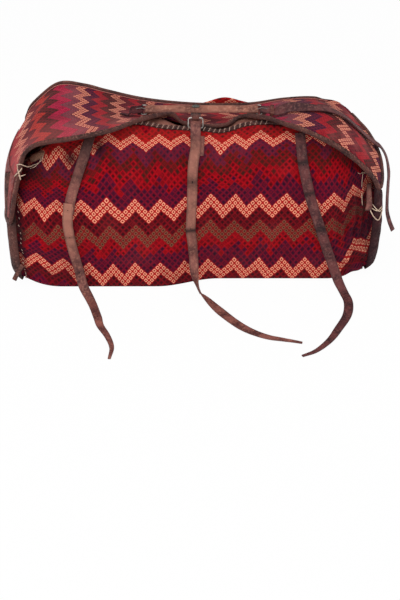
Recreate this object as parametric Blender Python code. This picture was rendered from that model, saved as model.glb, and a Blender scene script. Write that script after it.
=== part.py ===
"""Old woven storage bag: wool panels, leather-bound seams, a lid flap and long leather straps.

Frame: +X runs along the bag, +Y to its back, +Z up. The origin is the centre of the flat underside.
All sizes are metres.
"""
import math

import bmesh
import bpy
import numpy as np
from mathutils import Vector

for leftover in list(bpy.data.objects):
    bpy.data.objects.remove(leftover, do_unlink=True)

# Driving sizes of the woven body
BODY_LENGTH = 0.944
MOUTH_HEIGHT = 0.414
MOUTH_FRONT = 0.120
MOUTH_BACK = 0.125
CLOTH = 0.004
FRONT_BULGE = 0.058
BACK_BULGE = 0.026
FRONT_SAG = 0.030
SAG_POWER = 1.5
RIGHT_SLACK = 0.16
SLACK_SPAN = (-0.25, 0.15)
SAG_SPAN = (-0.20, 0.12)
CORNER_RADIUS = 0.045
CORNER_SWEEP = math.radians(62.0)
LEFT_LIFT = 0.012
RIGHT_LIFT = 0.034
LIFT_SHARE = 0.58
LIFT_START = 0.70
LIFT_POWER = 1.6
PUCKER_DEPTH = 0.005
PUCKER_PITCH = 0.080
PUCKER_SLANT = 9.0
PUCKER_START = (0.66, 0.82)
PUCKER_END = (0.90, 0.985)
PUCKER_LOW = (0.05, 0.22)
PUCKER_TOP = (0.58, 0.75)
END_BULGE = 0.022
END_BORDER = 0.018
END_CROWN = 0.7
END_FALL = 2.5
BACK_HUMP = 0.024
HUMP_PLACE = 0.155
HUMP_SPREAD = 0.085
FLAP_DROP = 0.0015
FLAP_SEAM_GAP = 0.0010
FLAP_CROWDING = 0.45

# Leather
SEAM_GAP = 0.0006
EDGE_GAP = 0.0014
LID_EDGE_GAP = 0.0020
TOUCH_GAP = 0.0004
LEATHER = 0.0030
BINDING_FACE = 0.014
BEAD_WIDTH = 0.014
BEAD_HALF = 0.0050
TRIM_WIDTH = 0.012
TRIM_HALF = 0.0045
PIPING_WIDTH = 0.013
PIPING_HALF = 0.0032
STRAP_WIDTH = 0.025
STRAP_STANDOFF = 0.0012
TIP_SHARE = 0.30
TIP_POWER = 1.4
HOLE_RADIUS = 0.0016
FLOOR_GAP = 0.0004

# Handle and metal fittings
HANDLE_WIDTH = 0.026
HANDLE_FORWARD = 0.055
HANDLE_RISE = 0.0310
HANDLE_TILT = math.radians(24.0)
HANDLE_LEFT = -0.1185
HANDLE_RIGHT = 0.1515
STRAP_THIN = 0.0025
FOLD_RUN = 0.024
FOLD_EASE = 0.0004
WIRE = 0.0016
BUCKLE_PITCH = 0.0125
BUCKLE_INNER = 0.0300
BUCKLE_CORNER = 0.004
PRONG_WIRE = 0.0012
PRONG_REACH = 0.0270
PRONG_SLOT = 0.0048
SLOT_LENGTH = 0.018
PRONG_DIPS = (-0.0002, 0.0006, 0.0024)
PRONG_TAPER = (1.0, 0.95, 0.85, 0.6)
RUNNING_GAP = 0.0004
RING_WIDTH = 0.0350
RING_HEIGHT = 0.0240
RING_CORNER = 0.005

# Mesh counts
LONG_STEPS = 22
CORNER_STEPS = 4
SIDE_STEPS = 10
BOTTOM_STEPS = 4
FLAP_LONG = 34
FLAP_DEEP = 8

HALF = BODY_LENGTH / 2.0

# Side profiles from the mouth down to the flat underside: share of the bulge, share of the height
FRONT_PROFILE = ((0.00, 1.00), (0.36, 0.90), (0.76, 0.71), (0.97, 0.49), (1.00, 0.28),
                 (0.84, 0.115), (0.48, 0.028), (-0.06, 0.0))
BACK_PROFILE = ((0.00, 1.00), (0.46, 0.88), (0.85, 0.68), (1.00, 0.46), (0.92, 0.26),
                (0.54, 0.10), (-0.23, 0.022), (-1.20, 0.0))

# Height of the mouth along the bag: share of the half length, height against the middle of the mouth
FRONT_RIM = ((-1.00, -0.165), (-0.93, -0.125), (-0.84, -0.078), (-0.72, -0.030), (-0.50, -0.012),
             (-0.20, -0.001), (0.15, 0.0), (0.42, 0.002), (0.54, 0.006), (0.66, -0.006),
             (0.76, -0.034), (0.88, -0.090), (1.00, -0.172))
BACK_RIM = ((-1.00, -0.100), (-0.95, -0.046), (-0.90, -0.008), (-0.76, 0.040), (-0.62, 0.034),
            (-0.50, 0.018), (-0.28, -0.006), (0.00, -0.020), (0.30, -0.020), (0.50, -0.008),
            (0.70, -0.004), (0.84, -0.020), (1.00, -0.095))

# The lid: share of the half length, and on the crest and front also the place across the bag and
# the height against the middle of the mouth
FLAP_BACK = (-0.900, 0.82)
FLAP_CREST = ((-0.935, -0.020, -0.046), (-0.83, -0.020, 0.010), (-0.64, -0.022, 0.024),
              (-0.33, -0.030, 0.006), (-0.06, 0.000, -0.008), (0.15, 0.010, -0.010),
              (0.36, -0.030, 0.000), (0.53, -0.030, 0.021), (0.74, -0.022, 0.014),
              (0.972, -0.020, -0.076))
FLAP_FRONT = ((-0.960, -0.134, -0.096), (-0.890, -0.150, -0.062), (-0.820, -0.158, -0.022),
              (-0.75, -0.160, 0.003), (-0.60, -0.162, 0.014), (-0.42, -0.152, 0.020),
              (-0.29, -0.122, 0.028), (-0.20, -0.090, 0.025), (-0.135, -0.066, 0.016),
              (-0.06, -0.078, 0.005), (0.04, -0.084, 0.001), (0.15, -0.083, 0.002),
              (0.235, -0.074, 0.016), (0.34, -0.113, 0.031), (0.45, -0.142, 0.029),
              (0.56, -0.160, 0.019), (0.70, -0.163, -0.012), (0.82, -0.160, -0.053),
              (0.92, -0.152, -0.102), (0.96, -0.146, -0.132))

# Front straps on the panel, from the top down: share of the half length, share of the mouth height
LEFT_UPPER = ((-0.533, 0.945), (-0.569, 0.851), (-0.609, 0.727), (-0.640, 0.625), (-0.657, 0.525))
LEFT_LOWER = ((-0.654, 0.590), (-0.665, 0.476), (-0.661, 0.369), (-0.647, 0.263), (-0.627, 0.147))
CENTRE_FRONT = ((0.000, 0.885), (-0.012, 0.782), (-0.015, 0.624), (-0.021, 0.494), (-0.024, 0.399),
                (-0.016, 0.311), (-0.009, 0.194))
BILLET_FRONT = ((0.026, 0.970), (0.024, 0.865))
RIGHT_FRONT = ((0.534, 0.992), (0.541, 0.920), (0.556, 0.807), (0.577, 0.711), (0.609, 0.584),
               (0.652, 0.450), (0.687, 0.335), (0.724, 0.219))

# Where they hang and run out: share of the half length, distance ahead of the panel, height, way up
LEFT_FLOOR = ((-0.604, 0.018, 0.022, (0.0, -0.6, 0.8)), (-0.554, 0.057, 0.0, (0.0, 0.0, 1.0)),
              (-0.505, 0.121, 0.0, (0.0, 0.0, 1.0)), (-0.481, 0.158, 0.0, (0.0, 0.0, 1.0)),
              (-0.433, 0.202, 0.0, (0.0, 0.0, 1.0)), (-0.404, 0.243, 0.0, (0.0, 0.0, 1.0)),
              (-0.407, 0.283, 0.0, (0.0, 0.0, 1.0)))
CENTRE_FLOOR = ((-0.004, 0.020, 0.050, (0.0, -0.9, 0.4)), (0.013, 0.042, 0.024, (0.0, -0.6, 0.8)),
                (0.045, 0.060, 0.0, (0.0, 0.0, 1.0)), (0.121, 0.113, 0.0, (0.0, 0.0, 1.0)),
                (0.206, 0.167, 0.0, (0.0, 0.0, 1.0)), (0.274, 0.199, 0.0, (0.0, 0.0, 1.0)),
                (0.356, 0.223, 0.0, (0.0, 0.0, 1.0)), (0.438, 0.234, 0.0, (0.0, 0.0, 1.0)),
                (0.530, 0.246, 0.0, (0.0, 0.0, 1.0)))
RIGHT_FLOOR = ((0.765, 0.012, 0.040, (0.0, -0.8, 0.5)), (0.784, 0.024, 0.018, (0.0, -0.6, 0.8)),
               (0.810, 0.055, 0.0, (0.0, 0.0, 1.0)), (0.815, 0.095, 0.0, (0.0, 0.0, 1.0)),
               (0.788, 0.146, 0.0, (0.0, 0.0, 1.0)), (0.722, 0.203, 0.0, (0.0, 0.0, 1.0)),
               (0.665, 0.246, 0.0, (0.0, 0.0, 1.0)), (0.590, 0.283, 0.0, (0.0, 0.0, 1.0)),
               (0.518, 0.302, 0.0, (0.0, 0.0, 1.0)))
LEFT_DROP = (3.0, 7.0)
CENTRE_DROP = (1.5, 4.5)
PUCKER_CLEAR = 0.0022
RIGHT_RISE = (6.0, 2.0)

# Holes and twist: share along the strap, and degrees of turn
LEFT_HOLES = (0.07, 0.20, 0.40, 0.62)
CENTRE_HOLES = (0.33, 0.43, 0.52)
RIGHT_HOLES = (0.17, 0.26)
CENTRE_TWIST = ((0.0, 0.0), (0.55, 0.0), (0.63, 30.0), (0.69, 70.0), (0.76, 10.0), (0.82, 0.0), (1.0, 0.0))

# The middle strap from the lid to the panel: place across the bag, height against the mouth
CENTRE_X = 0.002
CENTRE_BRIDGE = ((0.000, 0.0000), (-0.030, 0.0120), (-0.067, 0.0190), (-0.080, 0.0210),
                 (-0.100, 0.0240), (-0.115, 0.0250), (-0.128, 0.0222), (-0.139, 0.0140),
                 (-0.1465, 0.0010), (-0.1488, -0.0140), (-0.1478, -0.0300))
CHAPE_RUN = ((-0.038, 0.0182), (-0.052, 0.0203), (-0.067, 0.0224), (-0.085, 0.0275),
             (-0.100, 0.0320), (-0.112, 0.0358))
CHAPE_WIDTH = 0.018
CHAPE_TAIL = (0.011, 0.0002)
BILLET_WIDTH = 0.022
RING_CENTRE = np.array((CENTRE_X, -0.128, MOUTH_HEIGHT + 0.0225))
RING_UP = np.array((0.0, 0.349, 0.937))

# The straps beyond the two buckles
RUNOUT_NARROW = 0.002
TAIL_LEAN = 0.10
FOLD_BACK = ((0.0100, 0.0074), (0.0050, 0.0070))
FOLD_FALL = ((0.006, 0.0010), (0.012, 0.0022), (0.018, 0.0034), (0.026, 0.0048))
TAB_PLACES = ((-0.166, -0.053), (-0.172, -0.052), (-0.179, -0.051), (-0.186, -0.050))
RUNOUT = ((0.203, -0.056, 38.0, 0.0), (0.235, -0.061, 62.0, 0.0), (0.262, -0.059, 42.0, 0.0),
          (0.290, -0.056, 20.0, 0.0010), (0.325, -0.051, 8.0, 0.0020), (0.365, -0.047, 0.0, 0.0022),
          (0.400, -0.044, 0.0, 0.0020), (0.432, -0.041, 0.0, 0.0034), (0.452, -0.039, 0.0, 0.0062))
RUNOUT_TAIL = ((0.474, -0.037, -0.079, 0.0), (0.489, -0.036, -0.106, 0.0), (0.4985, -0.036, -0.150, 5.0),
               (0.5005, -0.037, -0.190, 12.0), (0.5020, -0.040, -0.230, 20.0),
               (0.5050, -0.044, -0.258, 30.0), (0.5140, -0.050, -0.285, 38.0),
               (0.5270, -0.056, -0.310, 45.0))
KEEPER_X = 0.190
KEEPER_CLEAR = 0.0014
KEEPER_THICK = 0.0016
KEEPER_WIDTH = 0.009
RIVET_LONG = 0.020
RIVET_SHORT = 0.010
RIVET_RISE = 0.004
RIVET_BACK = 0.0065
TAB_TAPER = (0.90, 0.74, 0.58, 0.42, 0.26)
CORNER_TAB_WIDTH = 0.012
TAB_CLEAR = 0.0003
PIPING_SET = 0.0006
PIPING_GAP = 0.0022


def unit(vectors):
    """Each vector of an array divided by its own length."""
    vectors = np.asarray(vectors, dtype=float)
    lengths = np.linalg.norm(vectors, axis=-1, keepdims=True)
    return vectors / np.maximum(lengths, 1e-12)


def smooth(points, count):
    """A Catmull-Rom curve through the points, read at count + 1 even steps of its parameter."""
    knots = np.asarray(points, dtype=float)
    padded = np.vstack((2 * knots[0] - knots[1], knots, 2 * knots[-1] - knots[-2]))
    place = np.linspace(0.0, len(knots) - 1.0, count + 1)
    span = np.minimum(place.astype(int), len(knots) - 2)
    t = (place - span)[:, None]
    a, b, c, d = (padded[span + k] for k in range(4))
    return 0.5 * (2 * b + (c - a) * t + (2 * a - 5 * b + 4 * c - d) * t ** 2
                  + (3 * b - a - 3 * c + d) * t ** 3)


def read_curve(points, x):
    """The value of a smooth curve of (share, value) points at shares x."""
    dense = smooth(points, 200)
    return np.interp(x, dense[:, 0], dense[:, 1])


def ease(x, low, high):
    """0 below low, 1 above high and a smooth step between them."""
    t = np.clip((np.asarray(x, dtype=float) - low) / (high - low), 0.0, 1.0)
    return t * t * (3.0 - 2.0 * t)


def material(name, colour, roughness, metallic=0.0):
    """A Principled material of one colour."""
    made = bpy.data.materials.new(name)
    made.use_nodes = True
    shader = made.node_tree.nodes["Principled BSDF"]
    shader.inputs["Base Color"].default_value = (*colour, 1.0)
    shader.inputs["Roughness"].default_value = roughness
    shader.inputs["Metallic"].default_value = metallic
    return made


def make_object(name, mesh_builder, finish, angle=40.0):
    """Put a finished bmesh into the scene as one smooth-shaded object."""
    bmesh.ops.recalc_face_normals(mesh_builder, faces=mesh_builder.faces)
    mesh = bpy.data.meshes.new(name)
    mesh_builder.to_mesh(mesh)
    mesh_builder.free()
    mesh.shade_smooth()
    mesh.set_sharp_from_angle(angle=math.radians(angle))
    mesh.materials.append(finish)
    made = bpy.data.objects.new(name, mesh)
    bpy.context.scene.collection.objects.link(made)
    return made


def shell(name, outer, inner, finish):
    """A sheet with thickness: two grids of points joined by a rim all round."""
    builder = bmesh.new()
    rows, columns = outer.shape[:2]
    layers = []
    for grid in (outer, inner):
        layers.append([[builder.verts.new(point) for point in row] for row in grid])
    for layer in layers:
        for i in range(rows - 1):
            for j in range(columns - 1):
                builder.faces.new((layer[i][j], layer[i + 1][j], layer[i + 1][j + 1], layer[i][j + 1]))
    edge = [(i, 0) for i in range(rows)]
    edge += [(rows - 1, j) for j in range(1, columns)]
    edge += [(i, columns - 1) for i in range(rows - 2, -1, -1)]
    edge += [(0, j) for j in range(columns - 2, 0, -1)]
    for (i, j), (k, m) in zip(edge, edge[1:] + edge[:1]):
        builder.faces.new((layers[0][i][j], layers[0][k][m], layers[1][k][m], layers[1][i][j]))
    return make_object(name, builder, finish)


def sweep(name, sections, finish, closed=False):
    """A solid through closed sections of equal point count, capped at both ends unless closed."""
    builder = bmesh.new()
    rings = [[builder.verts.new(point) for point in section] for section in sections]
    pairs = list(zip(rings, rings[1:]))
    if closed:
        pairs.append((rings[-1], rings[0]))
    for ring, following in pairs:
        for k, vert in enumerate(ring):
            after = (k + 1) % len(ring)
            builder.faces.new((vert, ring[after], following[after], following[k]))
    if not closed:
        builder.faces.new(rings[0])
        builder.faces.new(rings[-1])
    return make_object(name, builder, finish)


def place_sections(path, across, normal, outline):
    """Sections along a path: outline points are (across, normal) offsets, one outline a station."""
    outline = np.asarray(outline, dtype=float)
    if outline.ndim == 2:
        outline = np.repeat(outline[None], len(path), axis=0)
    return (np.asarray(path)[:, None, :] + outline[:, :, :1] * np.asarray(across)[:, None, :]
            + outline[:, :, 1:] * np.asarray(normal)[:, None, :])


def strap_outline(width, thickness):
    """A flat strap's section with worn, slanting edges."""
    edge = thickness * 0.35
    half = width / 2.0
    return ((-half, 0.0), (-half + edge, thickness / 2), (half - edge, thickness / 2),
            (half, 0.0), (half - edge, -thickness / 2), (-half + edge, -thickness / 2))


def bead_outline(width, half):
    """A rolled leather edge: flat against the cloth and round outside."""
    return ((0.0, -half), (0.62 * width, -half), (width, -0.45 * half),
            (width, 0.45 * half), (0.62 * width, half), (0.0, half))


def ribbon(name, path, across, widths, thickness, finish):
    """A strap along a path; across is its width direction at each station."""
    along = unit(np.gradient(np.asarray(path), axis=0))
    across = unit(across - along * np.sum(across * along, axis=1, keepdims=True))
    normal = np.cross(across, along)
    widths = np.broadcast_to(widths, (len(path),))
    outlines = [strap_outline(width, thickness) for width in widths]
    return sweep(name, place_sections(path, across, normal, outlines), finish)


def hoop(x):
    """The outer outline of the body at x, from the front rim under the bag to the back rim."""
    share = x / HALF
    front_height = MOUTH_HEIGHT + read_curve(FRONT_RIM, share)
    hump = BACK_HUMP * math.exp(-((share - HUMP_PLACE) / HUMP_SPREAD) ** 2)
    back_height = MOUTH_HEIGHT + read_curve(BACK_RIM, share) + hump
    front = smooth(FRONT_PROFILE, SIDE_STEPS)
    back = smooth(BACK_PROFILE, SIDE_STEPS)
    full = 1.0 - RIGHT_SLACK * ease(share, *SLACK_SPAN)
    sag = FRONT_SAG * ease(share, *SAG_SPAN) * (1.0 - front[:, 1]) ** SAG_POWER
    front_line = np.column_stack((-MOUTH_FRONT - FRONT_BULGE * full * front[:, 0] + sag,
                                  front_height * np.maximum(front[:, 1], 0.0)))
    back_line = np.column_stack((MOUTH_BACK + BACK_BULGE * back[:, 0],
                                 back_height * np.maximum(back[:, 1], 0.0)))
    inner = np.linspace(0.0, 1.0, BOTTOM_STEPS + 1)[1:-1, None]
    bottom = front_line[-1] + (back_line[-1] - front_line[-1]) * inner
    line = np.vstack((front_line, bottom, back_line[::-1]))
    beyond = ease(abs(share), LIFT_START, 1.0)
    lift = (LEFT_LIFT if share < 0 else RIGHT_LIFT) * beyond ** LIFT_POWER
    line[:, 1] += lift * (1.0 - ease(line[:, 1] / MOUTH_HEIGHT, 0.0, LIFT_SHARE))
    return line


def outward(line):
    """Outward normals of a hoop in its own plane."""
    along = unit(np.gradient(line, axis=0))
    out = np.column_stack((along[:, 1], -along[:, 0]))
    return out if out[0, 0] < 0.0 else -out


def body_stations():
    """Places along the bag and how far the outline is drawn in there to round the ends."""
    straight = HALF - CORNER_RADIUS * math.sin(CORNER_SWEEP)
    angles = np.linspace(0.0, CORNER_SWEEP, CORNER_STEPS + 1)[1:]
    ends = straight + CORNER_RADIUS * np.sin(angles)
    drawn = CORNER_RADIUS * (1.0 - np.cos(angles))
    middle = np.linspace(-straight, straight, LONG_STEPS + 1)
    places = np.concatenate((-ends[::-1], middle, ends))
    inset = np.concatenate((drawn[::-1], np.zeros(len(middle)), drawn))
    return places, inset


def body_surface():
    """Grid of points over the woven body (hoop by length) and its outward normals."""
    places, inset = body_stations()
    columns = []
    for x, drawn in zip(places, inset):
        line = hoop(x)
        out = outward(line)
        line = line - out * drawn
        window = ease(x / HALF, *PUCKER_START) * (1.0 - ease(x / HALF, *PUCKER_END))
        rows = np.arange(len(line)) <= SIDE_STEPS
        high = line[:, 1] / MOUTH_HEIGHT
        band = ease(high, *PUCKER_LOW) * (1.0 - ease(high, *PUCKER_TOP)) * rows
        wave = np.sin(2.0 * math.pi * line[:, 1] / PUCKER_PITCH + PUCKER_SLANT * x)
        line = line + out * (PUCKER_DEPTH * window * band * wave)[:, None]
        columns.append(np.column_stack((np.full(len(line), x), line)))
    grid = np.stack(columns, axis=1)
    down = np.gradient(grid, axis=0)
    along = np.gradient(grid, axis=1)
    normal = unit(np.cross(along, down))
    middle = normal[SIDE_STEPS // 2, grid.shape[1] // 2]
    if middle[1] > 0.0:
        normal = -normal
    return grid, normal


BODY, BODY_NORMAL = body_surface()
FRONT_ROWS = slice(0, SIDE_STEPS + 1)
BOTTOM_ROWS = slice(SIDE_STEPS, SIDE_STEPS + BOTTOM_STEPS + 1)
BACK_ROWS = slice(SIDE_STEPS + BOTTOM_STEPS, 2 * SIDE_STEPS + BOTTOM_STEPS + 1)


def trimmed(grid, row_start=False, row_end=False):
    """The grid with its first or last row drawn in along the cloth by the seam gap."""
    grid = grid.copy()
    if row_start:
        grid[0] += unit(grid[1] - grid[0]) * SEAM_GAP
    if row_end:
        grid[-1] += unit(grid[-2] - grid[-1]) * SEAM_GAP
    return grid


def woven_panel(name, rows, finish, **seams):
    """One woven panel of the body, cut from the body surface at its seams."""
    outer = trimmed(BODY[rows], **seams)
    inner = trimmed((BODY - BODY_NORMAL * CLOTH)[rows], **seams)
    return shell(name, outer, inner, finish)


def end_panel(name, column, side, finish):
    """The end of the bag: a flat sewn border round a padded-out middle, set inside the body's edge."""
    line = BODY[:, column, 1:]
    x_edge = BODY[0, column, 0]
    out = outward(line)
    last_turn = CORNER_SWEEP * (1.0 - 0.5 / CORNER_STEPS)
    edge = line - out * (CLOTH * math.cos(last_turn) + SEAM_GAP)
    border = line - out * END_BORDER
    border[0, 1] = edge[0, 1]
    border[-1, 1] = edge[-1, 1]
    builder = bmesh.new()
    count = SIDE_STEPS + 1

    def vert(point, bulge=0.0):
        return builder.verts.new((x_edge + side * bulge, point[0], point[1]))

    edge_verts = [vert(point) for point in edge]
    border_verts = [vert(point) for point in border]
    front = border_verts[:count]
    back = border_verts[::-1][:count]
    bottom = border_verts[count - 1:len(border_verts) - count + 1]
    grid = []
    for i in range(count):
        start = np.array(front[i].co[1:])
        end = np.array(back[i].co[1:])
        row = [front[i]]
        for j in range(1, BOTTOM_STEPS):
            share = j / BOTTOM_STEPS
            if i == count - 1:
                row.append(bottom[j])
                continue
            point = start + (end - start) * share
            rise = math.sin(math.pi * share) ** END_CROWN * (1.0 - (i / (count - 1)) ** END_FALL)
            row.append(vert(point, END_BULGE * rise))
        row.append(back[i])
        grid.append(row)
    for i in range(count - 1):
        for j in range(BOTTOM_STEPS):
            builder.faces.new((grid[i][j], grid[i + 1][j], grid[i + 1][j + 1], grid[i][j + 1]))
    for k in range(len(edge_verts) - 1):
        builder.faces.new((edge_verts[k], edge_verts[k + 1], border_verts[k + 1], border_verts[k]))
    moved = bmesh.ops.extrude_face_region(builder, geom=builder.faces[:], use_keep_orig=True)
    new_verts = [item for item in moved["geom"] if isinstance(item, bmesh.types.BMVert)]
    bmesh.ops.translate(builder, verts=new_verts, vec=(-side * CLOTH, 0.0, 0.0))
    return make_object(name, builder, finish)


def end_binding(name, column, side, finish):
    """A leather strip folded over the seam between the body and its end, from rim to rim."""
    reach = CORNER_STEPS - 1
    columns = [column - int(side) * k for k in range(reach, -1, -1)]
    line = BODY[:, column, 1:]
    out = outward(line)
    under = [BODY[:, c] + BODY_NORMAL[:, c] * TOUCH_GAP for c in columns]
    over = [BODY[:, c] + BODY_NORMAL[:, c] * (TOUCH_GAP + LEATHER) for c in columns]
    inset = line - out * BINDING_FACE
    inset[0, 1] = line[0, 1]
    inset[-1, 1] = line[-1, 1]
    x_face = BODY[0, column, 0] + side * TOUCH_GAP
    lip = np.column_stack((np.full(len(line), x_face), inset))
    lip_over = lip + np.array((side * LEATHER, 0.0, 0.0))
    loops = np.stack(under + [lip, lip_over] + over[::-1], axis=1)
    return sweep(name, loops, finish)


def rim_bead(name, rim, inward, normal, width, half, finish, gap=EDGE_GAP):
    """A rolled leather edge along a row of cloth points; inward points back into the cloth."""
    away = unit(np.cross(normal, unit(np.gradient(rim, axis=0))))
    away *= -np.sign(np.sum(away * inward, axis=1, keepdims=True))
    path = rim + away * gap
    return sweep(name, place_sections(path, away, normal, bead_outline(width, half)), finish)


def flap_surface():
    """Middle surface of the lid (length by depth) and its upward normals."""
    even = np.linspace(0.0, 1.0, FLAP_LONG + 1)
    even = even + FLAP_CROWDING * np.sin(2.0 * math.pi * even) / (2.0 * math.pi)
    shares = FLAP_BACK[0] + (FLAP_BACK[1] - FLAP_BACK[0]) * even
    reach = np.full(len(shares), MOUTH_BACK - CLOTH - FLAP_SEAM_GAP)
    lines = [np.column_stack((shares * HALF, reach, read_curve(BACK_RIM, shares) - FLAP_DROP))]
    for table in (FLAP_CREST, FLAP_FRONT):
        table = np.array(table)
        shares = table[0, 0] + (table[-1, 0] - table[0, 0]) * even
        lines.append(np.column_stack((shares * HALF, read_curve(table[:, :2], shares),
                                      read_curve(table[:, ::2], shares))))
    back, crest, front = (line + np.array((0.0, 0.0, MOUTH_HEIGHT)) for line in lines)
    t = np.linspace(0.0, 1.0, FLAP_DEEP + 1)[None, :, None]
    grid = (back[:, None] * (2 * t - 1) * (t - 1) + crest[:, None] * 4 * t * (1 - t)
            + front[:, None] * t * (2 * t - 1))
    normal = unit(np.cross(np.gradient(grid, axis=0), np.gradient(grid, axis=1)))
    if normal[FLAP_LONG // 2, FLAP_DEEP // 2, 2] < 0.0:
        normal = -normal
    return grid, normal


FLAP, FLAP_NORMAL = flap_surface()


def flap_binding(finish):
    """The rolled leather edge round the lid's two ends and front."""
    last = FLAP_LONG
    stations = [(0, j) for j in range(1, FLAP_DEEP + 1)]
    stations += [(i, FLAP_DEEP) for i in range(1, last)]
    stations += [(last, j) for j in range(FLAP_DEEP, 0, -1)]
    edge = np.array([FLAP[i, j] for i, j in stations])
    normal = np.array([FLAP_NORMAL[i, j] for i, j in stations])
    along = unit(np.gradient(edge, axis=0))
    away = unit(np.cross(normal, along))
    if away[0, 0] > 0.0:
        away = -away
    return rim_bead("lid_binding", edge, -away, normal, BEAD_WIDTH, BEAD_HALF, finish, LID_EDGE_GAP)


def front_point(x, height):
    """A point on the front panel's face at x and a height, and the outward normal there."""
    column = np.clip(np.interp(x, BODY[0, :, 0], np.arange(BODY.shape[1])), 0, BODY.shape[1] - 1.001)
    low = int(column)
    share = column - low
    face = BODY[FRONT_ROWS]
    tilt = BODY_NORMAL[FRONT_ROWS]
    points = face[:, low] * (1 - share) + face[:, low + 1] * share
    normals = tilt[:, low] * (1 - share) + tilt[:, low + 1] * share
    order = np.argsort(points[:, 2])
    at = [np.interp(height, points[order, 2], points[order, k]) for k in range(3)]
    way = [np.interp(height, points[order, 2], normals[order, k]) for k in range(3)]
    return np.array(at), unit(np.array(way))


def flap_point(x, y):
    """A point on the lid's top face above (x, y) and the upward normal there."""
    fine = np.linspace(0.0, 1.0, 9)[:-1]
    rows = (np.arange(FLAP_LONG)[:, None] + fine).ravel()
    columns = (np.arange(FLAP_DEEP)[:, None] + fine).ravel()
    i, u = rows.astype(int)[:, None], (rows % 1.0)[:, None, None]
    j, v = columns.astype(int)[None], (columns % 1.0)[None, :, None]

    def blend(grid):
        near = grid[i, j] * (1 - v) + grid[i, j + 1] * v
        far = grid[i + 1, j] * (1 - v) + grid[i + 1, j + 1] * v
        return (near * (1 - u) + far * u).reshape(-1, 3)

    points, normals = blend(FLAP), unit(blend(FLAP_NORMAL))
    k = np.argmin((points[:, 0] - x) ** 2 + (points[:, 1] - y) ** 2)
    point, normal = points[k], normals[k]
    slope = (normal[0] * (x - point[0]) + normal[1] * (y - point[1])) / normal[2]
    return np.array((x, y, point[2] - slope)) + normal * CLOTH / 2.0, normal


def strap_route(front, floor, thickness, lift=0.0, drop_at=None, steps=14):
    """Points and outward ways of a strap that lies on the front, hangs to the floor and runs out."""
    face = smooth(front, steps)
    points = []
    ways = []
    for k, (share, height) in enumerate(face):
        point, way = front_point(share * HALF, height * MOUTH_HEIGHT)
        raised = lift if drop_at is None else lift * (1.0 - float(ease(k, *drop_at)))
        points.append(point + way * (STRAP_STANDOFF + thickness / 2.0 + raised))
        ways.append(way)
    if not floor:
        return np.array(points), np.array(ways)
    foot = points[-1]
    down = [foot]
    down_ways = [ways[-1]]
    for share, forward, height, way in floor:
        down.append(np.array((share * HALF, foot[1] - forward, height + thickness / 2.0 + FLOOR_GAP)))
        down_ways.append(np.array(way, dtype=float))
    count = 3 * (len(down) - 1)
    points = np.vstack((points[:-1], smooth(down, count)))
    ways = np.vstack((ways[:-1], smooth(down_ways, count)))
    return points, unit(ways)


def front_strap(name, points, ways, thickness, finish, taper=0.999, twist=None, holes=()):
    """A front strap: tapered towards its tip, turned by twist, and punched."""
    points = points.copy()
    along = unit(np.gradient(points, axis=0))
    across = unit(np.cross(along, ways))
    ways = np.cross(across, along)
    stations = np.linspace(0.0, 1.0, len(points))
    tapered = np.clip((stations - taper) / (1.0 - taper), 0.0, 1.0) ** TIP_POWER
    widths = STRAP_WIDTH * (1.0 - (1.0 - TIP_SHARE) * tapered)
    if twist is not None:
        angle = np.radians(read_curve(twist, stations))[:, None]
        across, ways = (across * np.cos(angle) + ways * np.sin(angle),
                        ways * np.cos(angle) - across * np.sin(angle))
    need = widths / 2 * abs(across[:, 2]) + thickness / 2 * abs(ways[:, 2]) + FLOOR_GAP
    points[:, 2] = np.maximum(points[:, 2], need)
    outlines = [strap_outline(width, thickness) for width in widths]
    strap = sweep(name, place_sections(points, across, ways, outlines), finish)
    if holes:
        index = [int(round(share * (len(points) - 1))) for share in holes]
        punch(strap, points[index], ways[index], thickness)
    return strap


def punch(strap, points, ways, thickness):
    """Holes through a strap, cut by one wire-shown cutter of short pins."""
    builder = bmesh.new()
    for point, way in zip(points, ways):
        turn = Vector(way).to_track_quat("Z", "Y").to_matrix().to_4x4()
        turn.translation = Vector(point)
        bmesh.ops.create_cone(builder, cap_ends=True, segments=6, radius1=HOLE_RADIUS,
                              radius2=HOLE_RADIUS, depth=4.0 * thickness, matrix=turn)
    cut(strap, builder, "holes")


def cut(target, builder, label):
    """Take a cutter's space out of a solid."""
    mesh = bpy.data.meshes.new(f"{target.name}_{label}")
    builder.to_mesh(mesh)
    builder.free()
    cutter = bpy.data.objects.new(mesh.name, mesh)
    bpy.context.scene.collection.objects.link(cutter)
    cutter.hide_render = True
    cutter.display_type = "WIRE"
    modifier = target.modifiers.new(label, "BOOLEAN")
    modifier.operation = "DIFFERENCE"
    modifier.solver = "EXACT"
    modifier.object = cutter


def frame_loop(name, centre, long_way, short_way, long_size, short_size, wire, corner, finish):
    """A wire loop bent to a rounded rectangle about a centre."""
    points = []
    normals = []
    long_half = long_size / 2.0 - corner
    short_half = short_size / 2.0 - corner
    for quarter in range(4):
        sign_long = 1.0 if quarter in (0, 3) else -1.0
        sign_short = 1.0 if quarter in (0, 1) else -1.0
        for k in range(3):
            angle = math.radians(90.0 * quarter + 45.0 * k)
            points.append(centre + long_way * (sign_long * long_half + corner * math.cos(angle))
                          + short_way * (sign_short * short_half + corner * math.sin(angle)))
            normals.append(long_way * math.cos(angle) + short_way * math.sin(angle))
    up = np.cross(long_way, short_way)
    section = [(wire * math.cos(a), wire * math.sin(a)) for a in np.linspace(0, 2 * math.pi, 8)[:-1]]
    ups = np.repeat(up[None], len(points), axis=0)
    return sweep(name, place_sections(points, normals, ups, section), finish, closed=True)


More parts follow.
